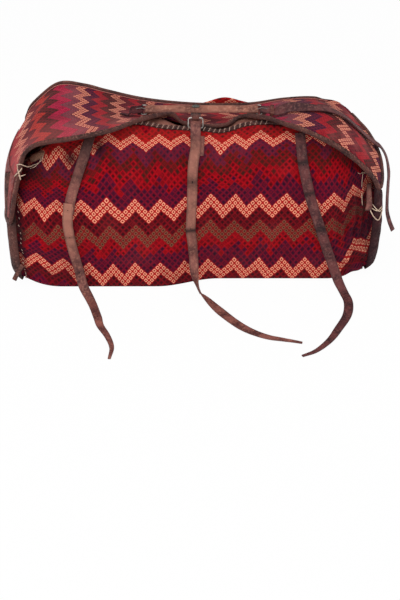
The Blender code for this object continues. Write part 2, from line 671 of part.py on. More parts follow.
# Directions of the handle: across its width and out of its face
HANDLE_ACROSS = np.array((0.0, math.cos(HANDLE_TILT), math.sin(HANDLE_TILT)))
HANDLE_OUT = np.array((0.0, -math.sin(HANDLE_TILT), math.cos(HANDLE_TILT)))
HANDLE_BASE = np.array((0.0, -HANDLE_FORWARD, MOUTH_HEIGHT + HANDLE_RISE))
FOLD_RADIUS = WIRE + RUNNING_GAP + STRAP_THIN / 2.0


def handle_place(x, out):
    """A point on the handle's middle plane at x, moved out of its face."""
    return HANDLE_BASE + np.array((x, 0.0, 0.0)) + HANDLE_OUT * out


def fold_points(bar_x, side):
    """The folded end of a strap round a bar: from under the strap, round the bar, to its top."""
    reach = FOLD_RUN
    under = -(STRAP_THIN + 2.0 * TOUCH_GAP)
    points = [(bar_x - side * reach, under), (bar_x - side * 0.6 * reach, under - FOLD_EASE)]
    for angle in np.linspace(-90.0, 90.0, 7):
        turn = math.radians(angle)
        points.append((bar_x + side * FOLD_RADIUS * math.cos(turn),
                       -FOLD_RADIUS + FOLD_RADIUS * math.sin(turn)))
    return points


def handle(finish):
    """The carrying handle: one strap folded round a bar at each end, slotted for the prongs."""
    left = fold_points(HANDLE_LEFT, -1.0)
    right = fold_points(HANDLE_RIGHT, 1.0)
    middle = [(x, 0.0) for x in np.linspace(HANDLE_LEFT, HANDLE_RIGHT, 8)[1:-1]]
    path = np.array([handle_place(x, out) for x, out in left + middle + right[::-1]])
    across = np.repeat(HANDLE_ACROSS[None], len(path), axis=0)
    made = ribbon("handle_strap", path, across, HANDLE_WIDTH, STRAP_THIN, finish)
    builder = bmesh.new()
    for bar_x in (HANDLE_LEFT, HANDLE_RIGHT):
        centre = handle_place(bar_x, -FOLD_RADIUS)
        turn = Vector(HANDLE_OUT).to_track_quat("Z", "X").to_matrix().to_4x4()
        turn.translation = Vector(centre)
        box = bmesh.ops.create_cube(builder, size=1.0)["verts"]
        for vert in box:
            x, across_part, out = vert.co
            vert.co = (centre + np.array((x * SLOT_LENGTH, 0.0, 0.0))
                       + HANDLE_ACROSS * across_part * PRONG_SLOT + HANDLE_OUT * out * SLOT_LENGTH)
    bmesh.ops.recalc_face_normals(builder, faces=builder.faces)
    cut(made, builder, "slots")
    return made


def buckle(name, bar_x, side, finish):
    """A wire buckle frame between the handle's fold and the strap beyond it."""
    centre = handle_place(bar_x + side * BUCKLE_PITCH / 2.0, -FOLD_RADIUS)
    return frame_loop(name, centre, HANDLE_ACROSS, np.array((1.0, 0.0, 0.0)),
                      BUCKLE_INNER + 2.0 * WIRE, BUCKLE_PITCH, WIRE, BUCKLE_CORNER, finish)


def prong(name, bar_x, side, finish):
    """A buckle prong: a wire eye round the inner bar and a tapered tongue over the outer bar."""
    eye = WIRE + RUNNING_GAP + PRONG_WIRE
    local = []
    for angle in np.linspace(262.0, 0.0, 9):
        turn = math.radians(angle)
        local.append((-eye * math.sin(turn), eye * math.cos(turn)))
    over = WIRE + RUNNING_GAP + STRAP_THIN + TOUCH_GAP + PRONG_WIRE
    local.append((0.6 * BUCKLE_PITCH, 0.5 * (eye + over)))
    for reach, dip in zip((BUCKLE_PITCH, 1.5 * BUCKLE_PITCH, PRONG_REACH), PRONG_DIPS):
        local.append((reach, over - dip))
    path = np.array([handle_place(bar_x + side * p, n - FOLD_RADIUS) for p, n in local])
    along = unit(np.gradient(path, axis=0))
    across = np.repeat(HANDLE_ACROSS[None], len(path), axis=0)
    normal = np.cross(across, along)
    radii = np.full(len(path), PRONG_WIRE)
    radii[-4:] *= np.array(PRONG_TAPER)
    turns = np.linspace(0, 2 * math.pi, 7)[:-1]
    outlines = [[(r * math.cos(a), r * math.sin(a)) for a in turns] for r in radii]
    return sweep(name, place_sections(path, across, normal, outlines), finish)


def outer_fold(bar_x, side):
    """The folded end of the strap beyond a buckle, round the outer bar."""
    outer = bar_x + side * BUCKLE_PITCH
    points = [(outer + side * run, -fall) for run, fall in FOLD_BACK]
    for angle in np.linspace(-90.0, 90.0, 7):
        turn = math.radians(angle)
        points.append((outer - side * FOLD_RADIUS * math.cos(turn),
                       -FOLD_RADIUS + FOLD_RADIUS * math.sin(turn)))
    points += [(outer + side * run, -fall) for run, fall in FOLD_FALL]
    return np.array([handle_place(x, out) for x, out in points])


def lid_route(places, lifts, thickness):
    """Points over the lid's top face above (x, y) places, and the way up there."""
    points = []
    ways = []
    for (x, y), lift in zip(places, lifts):
        point, way = flap_point(x, y)
        points.append(point + way * (STRAP_STANDOFF + thickness / 2.0 + lift))
        ways.append(way)
    return points, ways


def left_tab(finish):
    """The tapered tab folded round the left buckle's outer bar and laid on the lid."""
    fold = outer_fold(HANDLE_LEFT, -1.0)
    over, ways = lid_route(TAB_PLACES, (0.0,) * len(TAB_PLACES), STRAP_THIN)
    path = np.vstack((fold, over))
    across = np.repeat(HANDLE_ACROSS[None], len(path), axis=0)
    for k, way in enumerate(ways):
        across[len(fold) + k] = np.cross(way, (1.0, 0.0, 0.0))
    widths = np.full(len(path), HANDLE_WIDTH)
    widths[-5:] = HANDLE_WIDTH * np.array(TAB_TAPER)
    return ribbon("left_tab", path, across, widths, STRAP_THIN, finish)


def right_strap(finish):
    """The strap beyond the right buckle, hanging in a twisted tail; gives its path and width ways."""
    fold = outer_fold(HANDLE_RIGHT, 1.0)
    tilt = np.radians([row[2] for row in RUNOUT])
    lifts = [row[3] + HANDLE_WIDTH / 2.0 * math.sin(turn) for row, turn in zip(RUNOUT, tilt)]
    over, ways = lid_route([row[:2] for row in RUNOUT], lifts, STRAP_THIN)
    tail = np.array([row[:3] for row in RUNOUT_TAIL]) + np.array((0.0, 0.0, MOUTH_HEIGHT))
    sparse = smooth(np.vstack((over, tail)), 2 * (len(over) + len(tail)) - 2)
    turned = [np.cross(way, (1.0, 0.0, 0.0)) * math.cos(turn) + way * math.sin(turn)
              for way, turn in zip(ways, tilt)]
    for row in RUNOUT_TAIL:
        turn = math.radians(row[3])
        turned.append((math.sin(turn), math.cos(turn), TAIL_LEAN))
    turned = smooth(turned, len(sparse) - 1)
    path = np.vstack((fold, sparse))
    across = np.vstack((np.repeat(HANDLE_ACROSS[None], len(fold), axis=0), turned))
    ribbon("right_strap", path, across, HANDLE_WIDTH - RUNOUT_NARROW, STRAP_THIN, finish)
    return path, across


def keeper(path, across, near_x, finish):
    """A leather loop round the right strap: a flat band bent to a rounded rectangle."""
    k = int(np.argmin(abs(path[:, 0] - near_x) + 10.0 * (np.arange(len(path)) < 9)))
    along = unit(path[k + 1] - path[k - 1])
    wide = unit(across[k] - along * np.dot(across[k], along))
    out = np.cross(along, wide)
    half_wide = HANDLE_WIDTH / 2.0 + KEEPER_CLEAR
    half_out = STRAP_THIN / 2.0 + KEEPER_CLEAR
    sections = []
    for a, b in ((-1, -1), (1, -1), (1, 1), (-1, 1)):
        inner = path[k] + wide * a * half_wide + out * b * half_out
        outer = path[k] + wide * a * (half_wide + KEEPER_THICK) + out * b * (half_out + KEEPER_THICK)
        sections.append([inner - along * KEEPER_WIDTH / 2, inner + along * KEEPER_WIDTH / 2,
                         outer + along * KEEPER_WIDTH / 2, outer - along * KEEPER_WIDTH / 2])
    return sweep("right_keeper", sections, finish, closed=True)


def back_piping(finish):
    """A half-round leather piping laid on the lid along its seam with the back panel."""
    top = FLAP + FLAP_NORMAL * CLOTH / 2.0
    normal = FLAP_NORMAL[:, 0]
    base = top[:, 0] + normal * PIPING_GAP
    inward = unit(top[:, 1] - top[:, 0])
    base, inward, normal = base[1:-2], inward[1:-2], normal[1:-2]
    high = 2.0 * PIPING_HALF
    outline = ((PIPING_SET, 0.0), (PIPING_SET, 0.55 * high), (0.30 * PIPING_WIDTH, high),
               (0.65 * PIPING_WIDTH, high), (PIPING_WIDTH, 0.45 * high), (PIPING_WIDTH, 0.0))
    return sweep("lid_back_piping", place_sections(base, inward, normal, outline), finish)


def plane_ways(path):
    """Outward ways of a path that keeps to one plane across the bag."""
    return unit(np.cross(unit(np.gradient(path, axis=0)), (1.0, 0.0, 0.0)))


def centre_strap(finish):
    """The middle strap: sewn on the lid, under the handle, through the ring and down to the floor."""
    sewn = [flap_point(CENTRE_X, y)[0] + np.array((0.0, 0.0, STRAP_STANDOFF + LEATHER / 2.0))
            for y in (0.040, 0.015)]
    bridge = [(CENTRE_X, y, MOUTH_HEIGHT + rise) for y, rise in CENTRE_BRIDGE]
    lead = smooth(sewn + bridge, 2 * (len(sewn) + len(bridge)) - 2)
    over_billet = LEATHER + TOUCH_GAP
    points, ways = strap_route(CENTRE_FRONT, CENTRE_FLOOR, LEATHER, over_billet, CENTRE_DROP)
    points = np.vstack((lead, points))
    ways = np.vstack((plane_ways(lead), ways))
    return front_strap("strap_centre", points, ways, LEATHER, finish, taper=0.80,
                       twist=CENTRE_TWIST, holes=CENTRE_HOLES)


def centre_billet(finish):
    """The second leather layer sewn on the front panel behind the middle strap."""
    points, ways = strap_route(BILLET_FRONT, (), LEATHER, steps=4)
    across = np.repeat(np.array(((1.0, 0.0, 0.0),)), len(points), axis=0)
    return ribbon("centre_billet", points, across, BILLET_WIDTH, LEATHER, finish)


def centre_ring(finish):
    """The steel ring the middle strap runs through, held by its chape."""
    return frame_loop("centre_ring", RING_CENTRE, np.array((1.0, 0.0, 0.0)), RING_UP, RING_WIDTH,
                      RING_HEIGHT, WIRE, RING_CORNER, finish)


def centre_chape(finish):
    """The short leather piece folded round the ring's top bar and sewn on the strap behind it."""
    bar = RING_CENTRE + RING_UP * RING_HEIGHT / 2.0
    points = [(y, MOUTH_HEIGHT + rise) for y, rise in CHAPE_RUN]
    for angle in np.linspace(100.0, -80.0, 8):
        turn = math.radians(angle)
        points.append((bar[1] - FOLD_RADIUS * math.cos(turn), bar[2] + FOLD_RADIUS * math.sin(turn)))
    points.append((bar[1] + CHAPE_TAIL[0], bar[2] - FOLD_RADIUS - CHAPE_TAIL[1]))
    path = np.array([(CENTRE_X, y, z) for y, z in points])
    across = np.repeat(np.array(((1.0, 0.0, 0.0),)), len(path), axis=0)
    return ribbon("centre_chape", path, across, CHAPE_WIDTH, STRAP_THIN, finish)


def crossing_rivet(finish):
    """The domed oval plate on the handle where the middle strap passes under it."""
    base = handle_place(CENTRE_X, STRAP_THIN / 2.0 + TOUCH_GAP) + HANDLE_ACROSS * RIVET_BACK
    sections = []
    for scale, rise in ((1.0, 0.0), (0.94, 0.5), (0.72, 0.85), (0.36, 1.0)):
        ring = []
        for angle in np.linspace(0.0, 2.0 * math.pi, 13)[:-1]:
            ring.append(base + np.array((1.0, 0.0, 0.0)) * RIVET_LONG / 2 * scale * math.cos(angle)
                        + HANDLE_ACROSS * RIVET_SHORT / 2 * scale * math.sin(angle)
                        + HANDLE_OUT * RIVET_RISE * rise)
        sections.append(ring)
    return sweep("crossing_rivet", sections, finish)


def corner_tab(finish):
    """The small leather tab on the binding at the bag's lower left corner."""
    column = CORNER_STEPS - 2
    rows = range(SIDE_STEPS - 4, SIDE_STEPS)
    lift = 2.0 * TOUCH_GAP + LEATHER + STRAP_THIN / 2.0 + TAB_CLEAR
    path = smooth([BODY[r, column] + BODY_NORMAL[r, column] * lift for r in rows], 6)
    along = unit(np.gradient(path, axis=0))
    way = np.repeat(BODY_NORMAL[SIDE_STEPS - 2, column][None], len(path), axis=0)
    return ribbon("corner_tab", path, np.cross(way, along), CORNER_TAB_WIDTH, STRAP_THIN, finish)


def main():
    """Make every piece of the bag in its own material."""
    wool = material("woven_wool", (0.33, 0.02, 0.04), 0.95)
    wool_lid = material("faded_woven_wool", (0.40, 0.07, 0.10), 0.95)
    dark = material("dark_leather", (0.085, 0.045, 0.040), 0.70)
    brown = material("strap_leather", (0.20, 0.095, 0.075), 0.65)
    light = material("handle_leather", (0.30, 0.14, 0.10), 0.60)
    steel = material("worn_steel", (0.55, 0.54, 0.52), 0.35, 1.0)
    patina = material("patinated_brass", (0.10, 0.12, 0.10), 0.45, 1.0)

    woven_panel("front_panel", FRONT_ROWS, wool, row_end=True)
    woven_panel("bottom_panel", BOTTOM_ROWS, wool, row_start=True, row_end=True)
    woven_panel("back_panel", BACK_ROWS, wool, row_start=True)
    last = BODY.shape[1] - 1
    end_panel("left_end_panel", 0, -1.0, wool)
    end_panel("right_end_panel", last, 1.0, wool)
    end_binding("left_end_binding", 0, -1.0, dark)
    end_binding("right_end_binding", last, 1.0, dark)

    rim = (BODY - BODY_NORMAL * CLOTH / 2.0)[:, CORNER_STEPS - 1:last - CORNER_STEPS + 2]
    rim_bead("mouth_binding", rim[0], rim[1] - rim[0],
             BODY_NORMAL[0, CORNER_STEPS - 1:last - CORNER_STEPS + 2], TRIM_WIDTH, TRIM_HALF, dark)

    shell("lid_flap", FLAP + FLAP_NORMAL * CLOTH / 2.0, FLAP - FLAP_NORMAL * CLOTH / 2.0, wool_lid)
    flap_binding(dark)
    back_piping(dark)

    points, ways = strap_route(LEFT_UPPER, (), LEATHER, steps=10)
    front_strap("strap_left_upper", points, ways, LEATHER, brown)
    points, ways = strap_route(LEFT_LOWER, LEFT_FLOOR, LEATHER, LEATHER + TOUCH_GAP, LEFT_DROP)
    front_strap("strap_left_lower", points, ways, LEATHER, brown, taper=0.45, holes=LEFT_HOLES)
    points, ways = strap_route(RIGHT_FRONT, RIGHT_FLOOR, LEATHER, PUCKER_CLEAR, RIGHT_RISE)
    front_strap("strap_right", points, ways, LEATHER, brown, taper=0.60, holes=RIGHT_HOLES)
    centre_billet(brown)
    centre_strap(brown)
    centre_ring(steel)
    centre_chape(dark)

    handle(light)
    crossing_rivet(patina)
    for label, bar_x, side in (("left", HANDLE_LEFT, -1.0), ("right", HANDLE_RIGHT, 1.0)):
        buckle(f"{label}_buckle_frame", bar_x, side, steel)
        prong(f"{label}_buckle_prong", bar_x, side, steel)
    left_tab(brown)
    path, across = right_strap(brown)
    keeper(path, across, KEEPER_X, dark)
    corner_tab(dark)


main()
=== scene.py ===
"""Old woven storage bag: worn wool panels, leather-bound seams, a lid and long leather straps.

All sizes are metres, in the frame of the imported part: +X along the bag, +Y to its back, +Z up.
"""
import itertools
import math

import bpy
import numpy as np
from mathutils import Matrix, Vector


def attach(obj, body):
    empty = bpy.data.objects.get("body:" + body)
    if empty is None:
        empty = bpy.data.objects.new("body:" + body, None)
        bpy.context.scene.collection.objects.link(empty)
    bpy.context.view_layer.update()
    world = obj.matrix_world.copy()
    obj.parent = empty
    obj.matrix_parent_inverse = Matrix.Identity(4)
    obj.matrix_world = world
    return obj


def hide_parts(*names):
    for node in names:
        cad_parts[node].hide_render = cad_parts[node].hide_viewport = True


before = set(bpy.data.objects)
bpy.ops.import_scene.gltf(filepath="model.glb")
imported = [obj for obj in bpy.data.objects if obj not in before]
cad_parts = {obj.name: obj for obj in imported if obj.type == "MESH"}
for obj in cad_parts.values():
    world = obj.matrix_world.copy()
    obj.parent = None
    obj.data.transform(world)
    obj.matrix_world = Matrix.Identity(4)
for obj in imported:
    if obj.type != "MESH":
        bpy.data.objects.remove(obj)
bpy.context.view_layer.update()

# The camera, floor and light. A long lens looks down a little at the front of the bag, which stands on
# a plain white floor in soft studio light: one wide lamp high in front, one weaker lamp on each side.
LENS = 68.4
FRAME_SHIFT = -0.2125
CAMERA_PLACE = Vector((0.0125, -1.828, 1.092))
CAMERA_AIM = Vector((0.0125, -0.150, 0.200))
FLOOR_REACH = 14.0
WORLD_LEVEL = 0.55
FLOOR_GLOW = 0.97
FLOOR_WHITE = (0.86, 0.86, 0.86, 1.0)

lens = bpy.data.cameras.new("camera")
lens.lens = LENS
lens.sensor_width = 36.0
lens.sensor_fit = "HORIZONTAL"
lens.shift_y = FRAME_SHIFT
camera = bpy.data.objects.new("camera", lens)
camera.location = CAMERA_PLACE
camera.rotation_euler = (CAMERA_AIM - CAMERA_PLACE).to_track_quat("-Z", "Y").to_euler()
bpy.context.scene.collection.objects.link(camera)
bpy.context.scene.camera = camera
bpy.context.scene.view_settings.view_transform = "Standard"


def dye(red, green, blue):
    """A colour given in screen values from 0 to 255, as the linear colour that a shader reads."""
    share = np.array((red, green, blue)) / 255.0
    linear = np.where(share <= 0.04045, share / 12.92, ((share + 0.055) / 1.055) ** 2.4)
    return (*(float(part) for part in linear), 1.0)


class Shade:
    """A shader socket that takes part in Python sums: each operator adds the Math node it stands for."""

    def __init__(self, finish, socket):
        self.finish = finish
        self.socket = socket

    def math(self, operation, *others):
        """A Math node on this value and the others."""
        return self.finish.node("Math", {"operation": operation}, dict(enumerate((self, *others))))

    def __add__(self, other):
        return self.math("ADD", other)

    def __sub__(self, other):
        return self.math("SUBTRACT", other)

    def __rsub__(self, other):
        return self.finish.node("Math", {"operation": "SUBTRACT"}, {0: other, 1: self})

    def __mul__(self, other):
        return self.math("MULTIPLY", other)

    def __truediv__(self, other):
        return self.math("DIVIDE", other)

    __radd__ = __add__
    __rmul__ = __mul__

    def ease(self, low, high):
        """0 at low and 1 at high, with a smooth step between them."""
        settings = {"interpolation_type": "SMOOTHSTEP"}
        return self.finish.node("MapRange", settings, {"Value": self, "From Min": low, "From Max": high})


class Finish:
    """A material in the making. node() adds any node: its kind, its settings, then its sockets."""

    def __init__(self, name, roughness=0.8, metallic=0.0):
        self.material = bpy.data.materials.new(name)
        self.material.use_nodes = True
        self.tree = self.material.node_tree
        self.shader = self.tree.nodes["Principled BSDF"]
        self.shader.inputs["Roughness"].default_value = roughness
        self.shader.inputs["Metallic"].default_value = metallic

    def node(self, kind, settings=None, sockets=None, out=0):
        """A node of one kind with its settings made first, then its sockets filled or linked."""
        made = self.tree.nodes.new("ShaderNode" + kind)
        for key, value in (settings or {}).items():
            if key == "stops":
                ramp = made.color_ramp
                ramp.interpolation = "CONSTANT" if settings.get("stepped") else "LINEAR"
                for k, (place, colour) in enumerate(value):
                    stop = ramp.elements[0] if k == 0 else ramp.elements.new(place)
                    stop.position = place
                    stop.color = colour
                ramp.elements.remove(ramp.elements[-1])
            elif key != "stepped":
                setattr(made, key, value)
        for key, value in (sockets or {}).items():
            self.fill(made.inputs[key], value)
        return Shade(self, made.outputs[out])

    def fill(self, socket, value):
        """Link a Shade to a socket, or set a plain value on it."""
        if isinstance(value, Shade):
            self.tree.links.new(value.socket, socket)
        else:
            socket.default_value = value

    def mix(self, amount, first, second, blend="MIX"):
        """A colour between two, by amount."""
        settings = {"data_type": "RGBA", "blend_type": blend}
        return self.node("Mix", settings, {0: amount, 6: first, 7: second}, out=2)

    def solid(self):
        """Places in the piece itself."""
        return self.node("TexCoord", None, None, out="Object")

    def mark(self, name):
        """A value kept at each point of the mesh, 0 where the mesh has none of that name."""
        return self.node("Attribute", {"attribute_name": name}, None, out="Fac")

    def parts(self, places):
        """The first two parts of places, as two values."""
        first = self.node("SeparateXYZ", None, {0: places})
        return first, Shade(self, first.socket.node.outputs[1])

    def noise(self, places, scale, detail=2.0, roughness=0.5):
        """Smooth noise from about 0.25 to 0.75 at the places, scale lumps to the metre."""
        sockets = {"Vector": places, "Scale": scale, "Detail": detail, "Roughness": roughness}
        return self.node("TexNoise", None, sockets)

    def done(self, **sockets):
        """Fill the shader's own sockets, named with _ for a space, and give the material."""
        for key, value in sockets.items():
            self.fill(self.shader.inputs[key.replace("_", " ")], value)
        return self.material


def lamp(name, place, aim, size, power):
    """A square area lamp at a place, turned to its aim."""
    light = bpy.data.lights.new(name, "AREA")
    light.size = size
    light.energy = power
    made = bpy.data.objects.new(name, light)
    made.location = place
    made.rotation_euler = (Vector(aim) - Vector(place)).to_track_quat("-Z", "Y").to_euler()
    bpy.context.scene.collection.objects.link(made)


# Each lamp: name, place, aim, side and power.
LAMPS = (("high_front_lamp", (-0.5, -1.9, 2.5), (0.0, 0.0, 0.15), 1.6, 38.0),
         ("right_lamp", (2.2, -0.9, 1.3), (0.0, 0.0, 0.2), 1.4, 12.0),
         ("left_lamp", (-2.2, -0.6, 1.2), (0.0, 0.0, 0.2), 1.4, 9.0))
for settings in LAMPS:
    lamp(*settings)

world = bpy.data.worlds.new("studio")
bpy.context.scene.world = world
world.use_nodes = True
background = world.node_tree.nodes["Background"]
background.inputs["Color"].default_value = (1.0, 1.0, 1.0, 1.0)
path_node = world.node_tree.nodes.new("ShaderNodeLightPath")
level_node = world.node_tree.nodes.new("ShaderNodeMapRange")
level_node.inputs["To Min"].default_value = WORLD_LEVEL
level_node.inputs["To Max"].default_value = 1.0
world.node_tree.links.new(path_node.outputs["Is Camera Ray"], level_node.inputs["Value"])
world.node_tree.links.new(level_node.outputs["Result"], background.inputs["Strength"])

floor_finish = Finish("white_floor", roughness=0.9)
white = floor_finish.done(Base_Color=FLOOR_WHITE)
glow = floor_finish.node("Emission", None, {"Color": (1.0, 1.0, 1.0, 1.0), "Strength": 1.0})
seen = floor_finish.node("LightPath", None, None, out="Is Camera Ray")
mirrored = floor_finish.node("LightPath", None, None, out="Is Glossy Ray")
lit = Shade(floor_finish, floor_finish.shader.outputs[0])
blended = floor_finish.node("MixShader", None, {0: (seen + mirrored) * FLOOR_GLOW, 1: lit, 2: glow})
floor_finish.fill(floor_finish.tree.nodes["Material Output"].inputs["Surface"], blended)
floor_mesh = bpy.data.meshes.new("floor")
floor_corners = [(-FLOOR_REACH, -FLOOR_REACH, 0.0), (FLOOR_REACH, -FLOOR_REACH, 0.0),
                 (FLOOR_REACH, FLOOR_REACH, 0.0), (-FLOOR_REACH, FLOOR_REACH, 0.0)]
floor_mesh.from_pydata(floor_corners, [], [(0, 1, 2, 3)])
floor_mesh.materials.append(white)
floor = bpy.data.objects.new("floor", floor_mesh)
bpy.context.scene.collection.objects.link(floor)

# The body's woven panels: front, underside and back, hand-woven wool in stepped zigzag bands of small
# diamond cells. One soft, full shell that sags at the middle of its mouth and lifts at both ends; the
# panels are sewn together along the two lower edges.
HALF = 0.472
MOUTH_HEIGHT = 0.414
MOUTH_FRONT = 0.120
MOUTH_BACK = 0.125
CLOTH = 0.004
FRONT_BULGE = 0.058
BACK_BULGE = 0.026
FRONT_SAG = 0.030
SAG_SPAN = (-0.20, 0.12)
RIGHT_SLACK = 0.16
SLACK_SPAN = (-0.25, 0.15)
CORNER_RADIUS = 0.045
CORNER_SWEEP = math.radians(62.0)
LEFT_LIFT = 0.026
RIGHT_LIFT = 0.034
HALF_DEPTH = 0.165
DRAWN_SHARE = 0.35
LIFT_START = 0.70
LIFT_SHARE = 0.58
BACK_HUMP = 0.021
HUMP_PLACE = 0.168
HUMP_SPREAD = 0.115
SEAM_GAP = 0.0006
# Profiles: (share of the bulge, share of the height), rim to underside. Rims: (share along, rise).
FRONT_PROFILE = ((0.00, 1.00), (0.36, 0.90), (0.76, 0.71), (0.97, 0.49), (1.04, 0.28),
                 (1.06, 0.12), (1.02, 0.030), (0.86, 0.003), (0.40, 0.0))
BACK_PROFILE = ((0.00, 1.00), (0.46, 0.88), (0.85, 0.68), (1.00, 0.46), (0.92, 0.26),
                (0.54, 0.10), (-0.23, 0.022), (-1.20, 0.0))
FRONT_RIM = ((-1.00, -0.122), (-0.93, -0.098), (-0.84, -0.064), (-0.72, -0.028), (-0.50, -0.002),
             (-0.30, 0.014), (-0.16, 0.004), (0.04, -0.002), (0.14, -0.007), (0.27, 0.011),
             (0.40, 0.014), (0.54, 0.006), (0.66, -0.006), (0.76, -0.034), (0.88, -0.090),
             (1.00, -0.172))
BACK_RIM = ((-1.00, -0.100), (-0.95, -0.046), (-0.90, -0.008), (-0.76, 0.040), (-0.62, 0.034),
            (-0.50, 0.018), (-0.28, -0.006), (0.00, -0.020), (0.30, -0.020), (0.50, -0.008),
            (0.70, -0.004), (0.84, -0.020), (1.00, -0.095))
SIDE = 90
UNDER = 24
LONG = 250
CORNER = 16
CELL_LONG = 0.0078
CELL_HIGH = 0.0076
PEAK_START = 0.035
BAND_START = 0.0085
# Rows of the pattern: (distance up the cloth from the lower fold, height in the pattern).
WOVEN_HEIGHT = ((0.0, 0.0), (0.118, 0.0997), (0.2975, 0.2517), (0.408, 0.3447), (0.445, 0.3987),
                (0.60, 0.5537))


def unit(vectors):
    """Each vector of an array divided by its own length."""
    vectors = np.asarray(vectors, dtype=float)
    return vectors / np.maximum(np.linalg.norm(vectors, axis=-1, keepdims=True), 1e-12)


def smooth(points, count):
    """A smooth curve through the points, read at even steps.

    Between each two points it is the cubic whose slope at a point is half the step from the point before
    it to the point after it.
    """
    knots = np.asarray(points, dtype=float)
    padded = np.vstack((2 * knots[0] - knots[1], knots, 2 * knots[-1] - knots[-2]))
    place = np.linspace(0.0, len(knots) - 1.0, count + 1)
    span = np.minimum(place.astype(int), len(knots) - 2)
    t = (place - span)[:, None]
    a, b, c, d = (padded[span + k] for k in range(4))
    return 0.5 * (2 * b + (c - a) * t + (2 * a - 5 * b + 4 * c - d) * t ** 2
                  + (3 * b - a - 3 * c + d) * t ** 3)


def read_curve(points, x):
    """The value of a smooth curve of (place, value) points at places x."""
    dense = smooth(points, 400)
    return np.interp(x, dense[:, 0], dense[:, 1])


def ease(x, low, high):
    """0 below low, 1 above high and a smooth step between them."""
    t = np.clip((np.asarray(x, dtype=float) - low) / (high - low), 0.0, 1.0)
    return t * t * (3.0 - 2.0 * t)


def lumps(places, size, seed):
    """Soft random values from -1 to 1: fixed random numbers on a lattice of one size, smoothly blended."""
    spot = np.asarray(places, dtype=float) / size
    base = np.floor(spot).astype(np.int64)
    share = spot - base
    share = share * share * (3.0 - 2.0 * share)
    primes = np.array((73856093, 19349663, 83492791))[:spot.shape[-1]]
    total = 0.0
    for corner in itertools.product((0, 1), repeat=spot.shape[-1]):
        mixed = ((base + np.array(corner)) * primes).sum(axis=-1) + seed * 50331653
        mixed = ((mixed ^ (mixed >> 13)) * 1274126177) & 0x7FFFFFFF
        mixed = (mixed ^ (mixed >> 15)) & 0xFFFF
        weight = np.prod(np.where(np.array(corner) == 1, share, 1.0 - share), axis=-1)
        total = total + (mixed / 32767.5 - 1.0) * weight
    return total


def distance(points, axis=0):
    """How far along a grid's lines each point lies: the running sum of the steps."""
    step = np.linalg.norm(np.diff(points, axis=axis), axis=-1)
    return np.insert(np.cumsum(step, axis=axis), 0, 0.0, axis=axis)


def put_mesh(name, points, quads, finish, spots, **marks):
    """One closed skin of four-cornered faces, turned outwards by the sign of the space it holds.

    spots are the (s, t) of each point, kept as the UV map; marks are further values of each point.
    """
    points = np.ascontiguousarray(points.reshape(-1, 3))
    quads = np.ascontiguousarray(quads.reshape(-1, 4))
    a, b, c, d = (points[quads[:, k]] for k in range(4))
    held = np.sum(a * (np.cross(b, c) + np.cross(c, d)))
    if held < 0.0:
        quads = np.ascontiguousarray(quads[:, ::-1])
    mesh = bpy.data.meshes.new(name)
    mesh.vertices.add(len(points))
    mesh.vertices.foreach_set("co", points.ravel())
    mesh.loops.add(quads.size)
    mesh.loops.foreach_set("vertex_index", quads.ravel().astype(np.int32))
    mesh.polygons.add(len(quads))
    mesh.polygons.foreach_set("loop_start", np.arange(0, quads.size, 4, dtype=np.int32))
    mesh.update(calc_edges=True)
    layer = mesh.uv_layers.new(name="cloth")
    layer.data.foreach_set("uv", spots.reshape(-1, 2)[quads.ravel()].astype(np.float32).ravel())
    for key, values in marks.items():
        mark = mesh.attributes.new(key, "FLOAT", "POINT")
        mark.data.foreach_set("value", np.broadcast_to(values, len(points)).astype(np.float32).ravel())
    mesh.validate()
    mesh.shade_smooth()
    mesh.materials.append(finish)
    made = bpy.data.objects.new(name, mesh)
    bpy.context.scene.collection.objects.link(made)
    return made


def grid_quads(rows, columns, start=0):
    """The four-cornered faces of a grid of rows by columns, numbered row by row."""
    corner = start + np.arange(rows - 1)[:, None] * columns + np.arange(columns - 1)
    return np.stack((corner, corner + 1, corner + columns + 1, corner + columns), axis=-1).reshape(-1, 4)


def cloth_skin(name, outer, inner, finish, spots, **marks):
    """A sheet with thickness: two grids of points and a rim of faces round their edge."""
    rows, columns = outer.shape[:2]
    count = rows * columns
    index = np.arange(count).reshape(rows, columns)
    edge = np.concatenate((index[:, 0], index[-1, 1:], index[-2::-1, -1], index[0, -2:0:-1]))
    after = np.roll(edge, -1)
    rim = np.stack((edge, after, after + count, edge + count), axis=-1)
    outside = grid_quads(rows, columns)
    inside = grid_quads(rows, columns, count)[:, ::-1]
    quads = np.vstack((outside[:, ::-1], inside[:, ::-1], rim[:, ::-1]))
    points = np.concatenate((outer.reshape(-1, 3), inner.reshape(-1, 3)))
    both = np.concatenate((spots.reshape(-1, 2), spots.reshape(-1, 2)))
    marks = {key: np.tile(np.ravel(value), 2) for key, value in marks.items()}
    return put_mesh(name, points, quads, finish, both, **marks)


